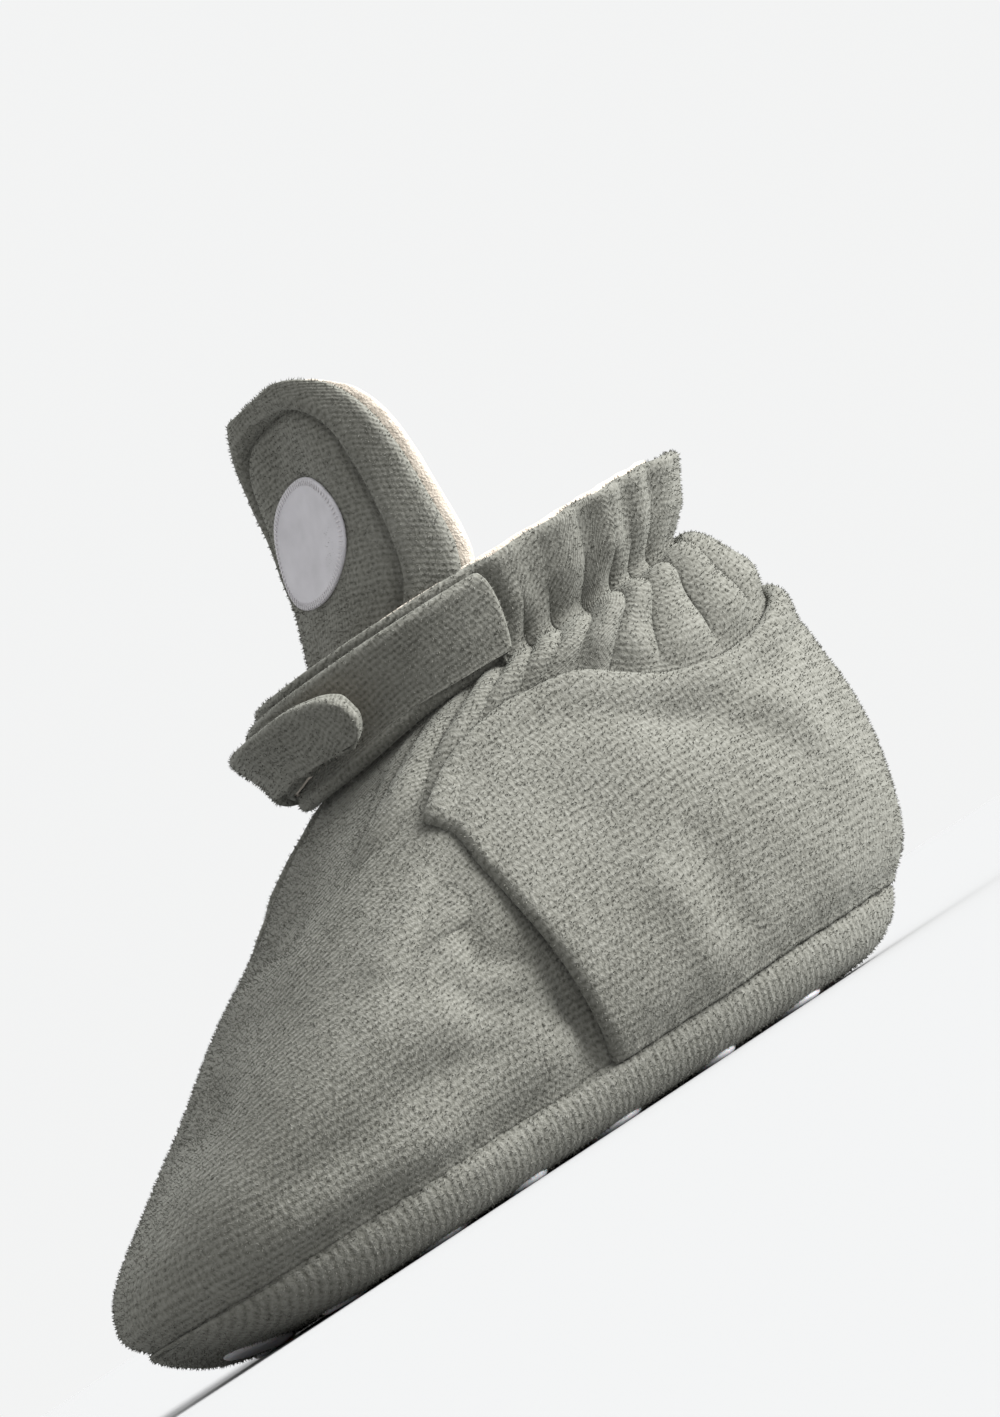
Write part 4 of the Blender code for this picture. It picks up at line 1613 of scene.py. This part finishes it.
@dataclass
class Strap:
    """A padded strap round the ankle, on a table of stations."""

    finishes: Finishes
    # Columns: turn, lower level, upper level, lift
    table: Rows
    gap: float = 0.5
    end_round: float = 0.10
    end_squeeze: float = 0.80
    end_inset: float = 0.25
    columns: int = 150
    rows: int = 28
    lip_steps: tuple[int, int] = (5, 6)
    # The width and the length that the lips are measured on
    lip_width: float = 12.5
    lip_length: float = 36.0

    def layer(self, name: str, low: float, high: float, inset: float, waves: Waves) -> Piece:
        """One layer of the strap.

        Args:
            name: the layer's plain name.
            low: its inner face, as a height over the strap's inner face.
            high: its outer face.
            inset: how far its edges stay inside the strap's edges, as a share of its width.
            waves: the layer's unevenness.

        Returns:
            The layer.
        """
        half = (high - low) / 2.0
        edge = half / self.lip_width
        grid = PanelGrid(self.columns, self.rows, half / self.lip_length, edge, edge, self.lip_steps)
        share, rise = grid.shares()
        end = inset * self.end_inset
        row = rows_at(np.array(sorted(self.table)), end + share * (1.0 - 2.0 * end))
        toward_end = np.clip((share - 1.0 + self.end_round) / self.end_round, 0.0, 1.0)
        squeeze = np.sqrt(1.0 - self.end_squeeze * toward_end**2)
        height = 0.5 + (inset + rise * (1.0 - 2.0 * inset) - 0.5) * squeeze
        turn = row[..., 0]
        level = np.clip(row[..., 1] + (row[..., 2] - row[..., 1]) * height, 0.0, 1.0)
        off = self.gap + row[..., 3] + (low + high) / 2.0 + waves.lift(LAST.place(turn, level))
        return ClothLayer(name, LAST.off(turn, level, off), half * grid.fullness(share, rise)).build()


@dataclass
class NearWrap(Strap):
    """The smooth band that wraps the near side of the ankle."""

    table: Rows = (
        (0.215, 0.760, 0.985, 0.0),
        (0.160, 0.750, 0.990, 0.0),
        (0.090, 0.740, 0.990, 0.0),
        (0.020, 0.740, 0.990, 0.0),
        (-0.060, 0.740, 0.985, 0.0),
        (-0.130, 0.750, 0.970, 0.0),
    )
    thickness: float = 2.1
    end_round: float = 0.03
    sunk: float = -0.1
    waves: Waves = Waves(71, 0.12, 20.0)

    def build(self) -> list[Piece]:
        """Makes the band."""
        piece = self.layer("ankle_band", self.sunk, self.thickness, 0.0, self.waves)
        return [dress(piece, self.finishes.cuff_knit, "pile_knit", "near_wrap")]


@dataclass
class ClosingStrap(Strap):
    """The strap that comes across the front and stands off at its free end, lined with fleece."""

    table: Rows = (
        (-0.200, 0.765, 0.955, 2.4),
        (-0.140, 0.750, 0.970, 2.5),
        (-0.060, 0.745, 0.985, 2.6),
        (0.010, 0.750, 0.990, 3.2),
        (0.060, 0.795, 0.995, 4.6),
        (0.098, 0.880, 0.980, 6.4),
    )
    # Each layer's inner face, outer face and inset
    face: Triple = (1.5, 3.15, 0.0)
    fold: Triple = (0.35, 1.75, 0.03)
    lining: Triple = (-0.15, 0.75, 0.10)
    face_waves: Waves = Waves(81, 0.12, 14.0)
    fold_waves: Waves = Waves(82, 0.1, 12.0)
    lining_waves: Waves = Waves(83, 0.06, 10.0)

    def build(self) -> list[Piece]:
        """Makes the three layers."""
        knit, fleece = self.finishes.cuff_knit, self.finishes.fleece
        face = self.layer("closing_strap_face", *self.face, self.face_waves)
        fold = self.layer("closing_strap_fold", *self.fold, self.fold_waves)
        lining = self.layer("closing_strap_lining", *self.lining, self.lining_waves)
        return [
            dress(face, knit, "pile_knit", "closing_strap"),
            dress(fold, knit, "pile_knit", "closing_strap"),
            dress(lining, fleece, "cream_fleece", "closing_strap"),
        ]


@dataclass
class Studio:
    """A plain pale floor, soft light and a camera at the photograph's angle, brought up to the floor."""

    azimuth: float = 60.2
    roll: float = 33.0
    distance: float = 882.0
    lens: float = 178.0
    target: Triple = (5.7, 20.0, 52.0)
    camera_height: float = 9.0
    nearest: float = 0.05
    world: Colour = (0.895, 0.90, 0.90)
    floor: Colour = (0.36, 0.362, 0.364)
    floor_half: float = 30.0
    # Each light's name, the direction that it comes from, how wide it is in degrees, and its power
    lamps: tuple[tuple[str, Triple, float, float], ...] = (
        ("key_light", (460.0, 660.0, 330.0), 42.0, 11.0),
        ("top_light", (200.0, 320.0, 760.0), 90.0, 1.0),
    )

    def axes(self) -> tuple[Array, Array, Array]:
        """The camera's right, its up and the way back to it, as unit directions."""
        turn = math.radians(self.azimuth)
        rise = math.asin((self.camera_height - self.target[2]) / self.distance)
        back = np.array((math.sin(turn) * math.cos(rise), -math.cos(turn) * math.cos(rise), math.sin(rise)))
        right = np.array((math.cos(turn), math.sin(turn), 0.0))
        up = np.cross(back, right)
        roll = math.radians(self.roll)
        turned_right = right * math.cos(roll) - up * math.sin(roll)
        return turned_right, np.cross(back, turned_right), back

    def stand(self, made: Piece, axes: tuple[Array, ...], place: Array) -> None:
        """Turns an object to its own three axes and puts it at a place in millimetres."""
        rows = [(*axis, spot) for axis, spot in zip(np.stack(axes, axis=1), place * MM)]
        made.matrix_world = Matrix((*rows, (0.0, 0.0, 0.0, 1.0)))

    def camera(self) -> None:
        """Makes the camera."""
        axes = self.axes()
        data = bpy.data.cameras.new("camera")
        data.lens = self.lens
        data.sensor_fit = "AUTO"
        data.clip_start = self.nearest
        made = placed("camera", data)
        self.stand(made, axes, np.array(self.target) + axes[2] * self.distance)
        bpy.context.scene.camera = made

    def lamp(self, name: str, place: Triple, softness: float, power: float) -> None:
        """One far soft light that faces the bootie from a direction, as wide as an angle in degrees."""
        data = bpy.data.lights.new(name, "SUN")
        data.angle = math.radians(softness)
        data.energy = power
        away = np.array(place) / np.linalg.norm(place)
        side = np.cross((0.0, 0.0, 1.0), away)
        side /= np.linalg.norm(side)
        self.stand(placed(name, data), (side, np.cross(away, side), away), np.array(place))

    def build(self) -> None:
        """Makes the floor, the lights, the world and the camera."""
        half = self.floor_half
        corners = [(-half, -half, 0.0), (half, -half, 0.0), (half, half, 0.0), (-half, half, 0.0)]
        mesh = bpy.data.meshes.new("floor")
        mesh.from_pydata(corners, [], [(0, 1, 2, 3)])
        shader = Shader("pale_floor")
        shader.constants(Base_Color=(*self.floor, 1.0), Roughness=1.0, Specular_IOR_Level=0.0)
        mesh.materials.append(shader.material)
        floor = placed("floor", mesh)
        world = bpy.data.worlds.new("studio")
        world.use_nodes = True
        world.node_tree.nodes["Background"].inputs["Color"].default_value = (*self.world, 1.0)
        bpy.context.scene.world = world
        bpy.context.scene.view_settings.view_transform = "Standard"
        for lamp in self.lamps:
            self.lamp(*lamp)
        self.camera()


def grow_pile(names: tuple[str, ...]) -> None:
    """Grows loose fibres on the knit pieces, each with a seed of its own."""
    for index, name in enumerate(names):
        carrier = bpy.data.objects[name]
        knit = carrier.data.materials[0]
        fibres = PileFibres(seed=index + 1).grow(name + "_fibres", carrier, knit)
        dress(fibres, knit, "pile_knit")
        log.info("%s: %d faces", fibres.name, len(fibres.data.polygons))


def main() -> None:
    """Builds the sub-assemblies in order and reports each piece."""
    logging.basicConfig(level=logging.INFO, format="%(name)s: %(message)s")
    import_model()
    finishes = Finishes()
    pieces: list[Piece] = []
    for assembly in (Upper, Sole, Tongue, NearWrap, ClosingStrap):
        made = assembly(finishes).build()
        pieces += made
        for piece in made:
            log.info("%s: %d faces", piece.name, len(piece.data.polygons))
    grow_pile(FURRY)
    Studio().build()


if __name__ == "__main__":
    main()
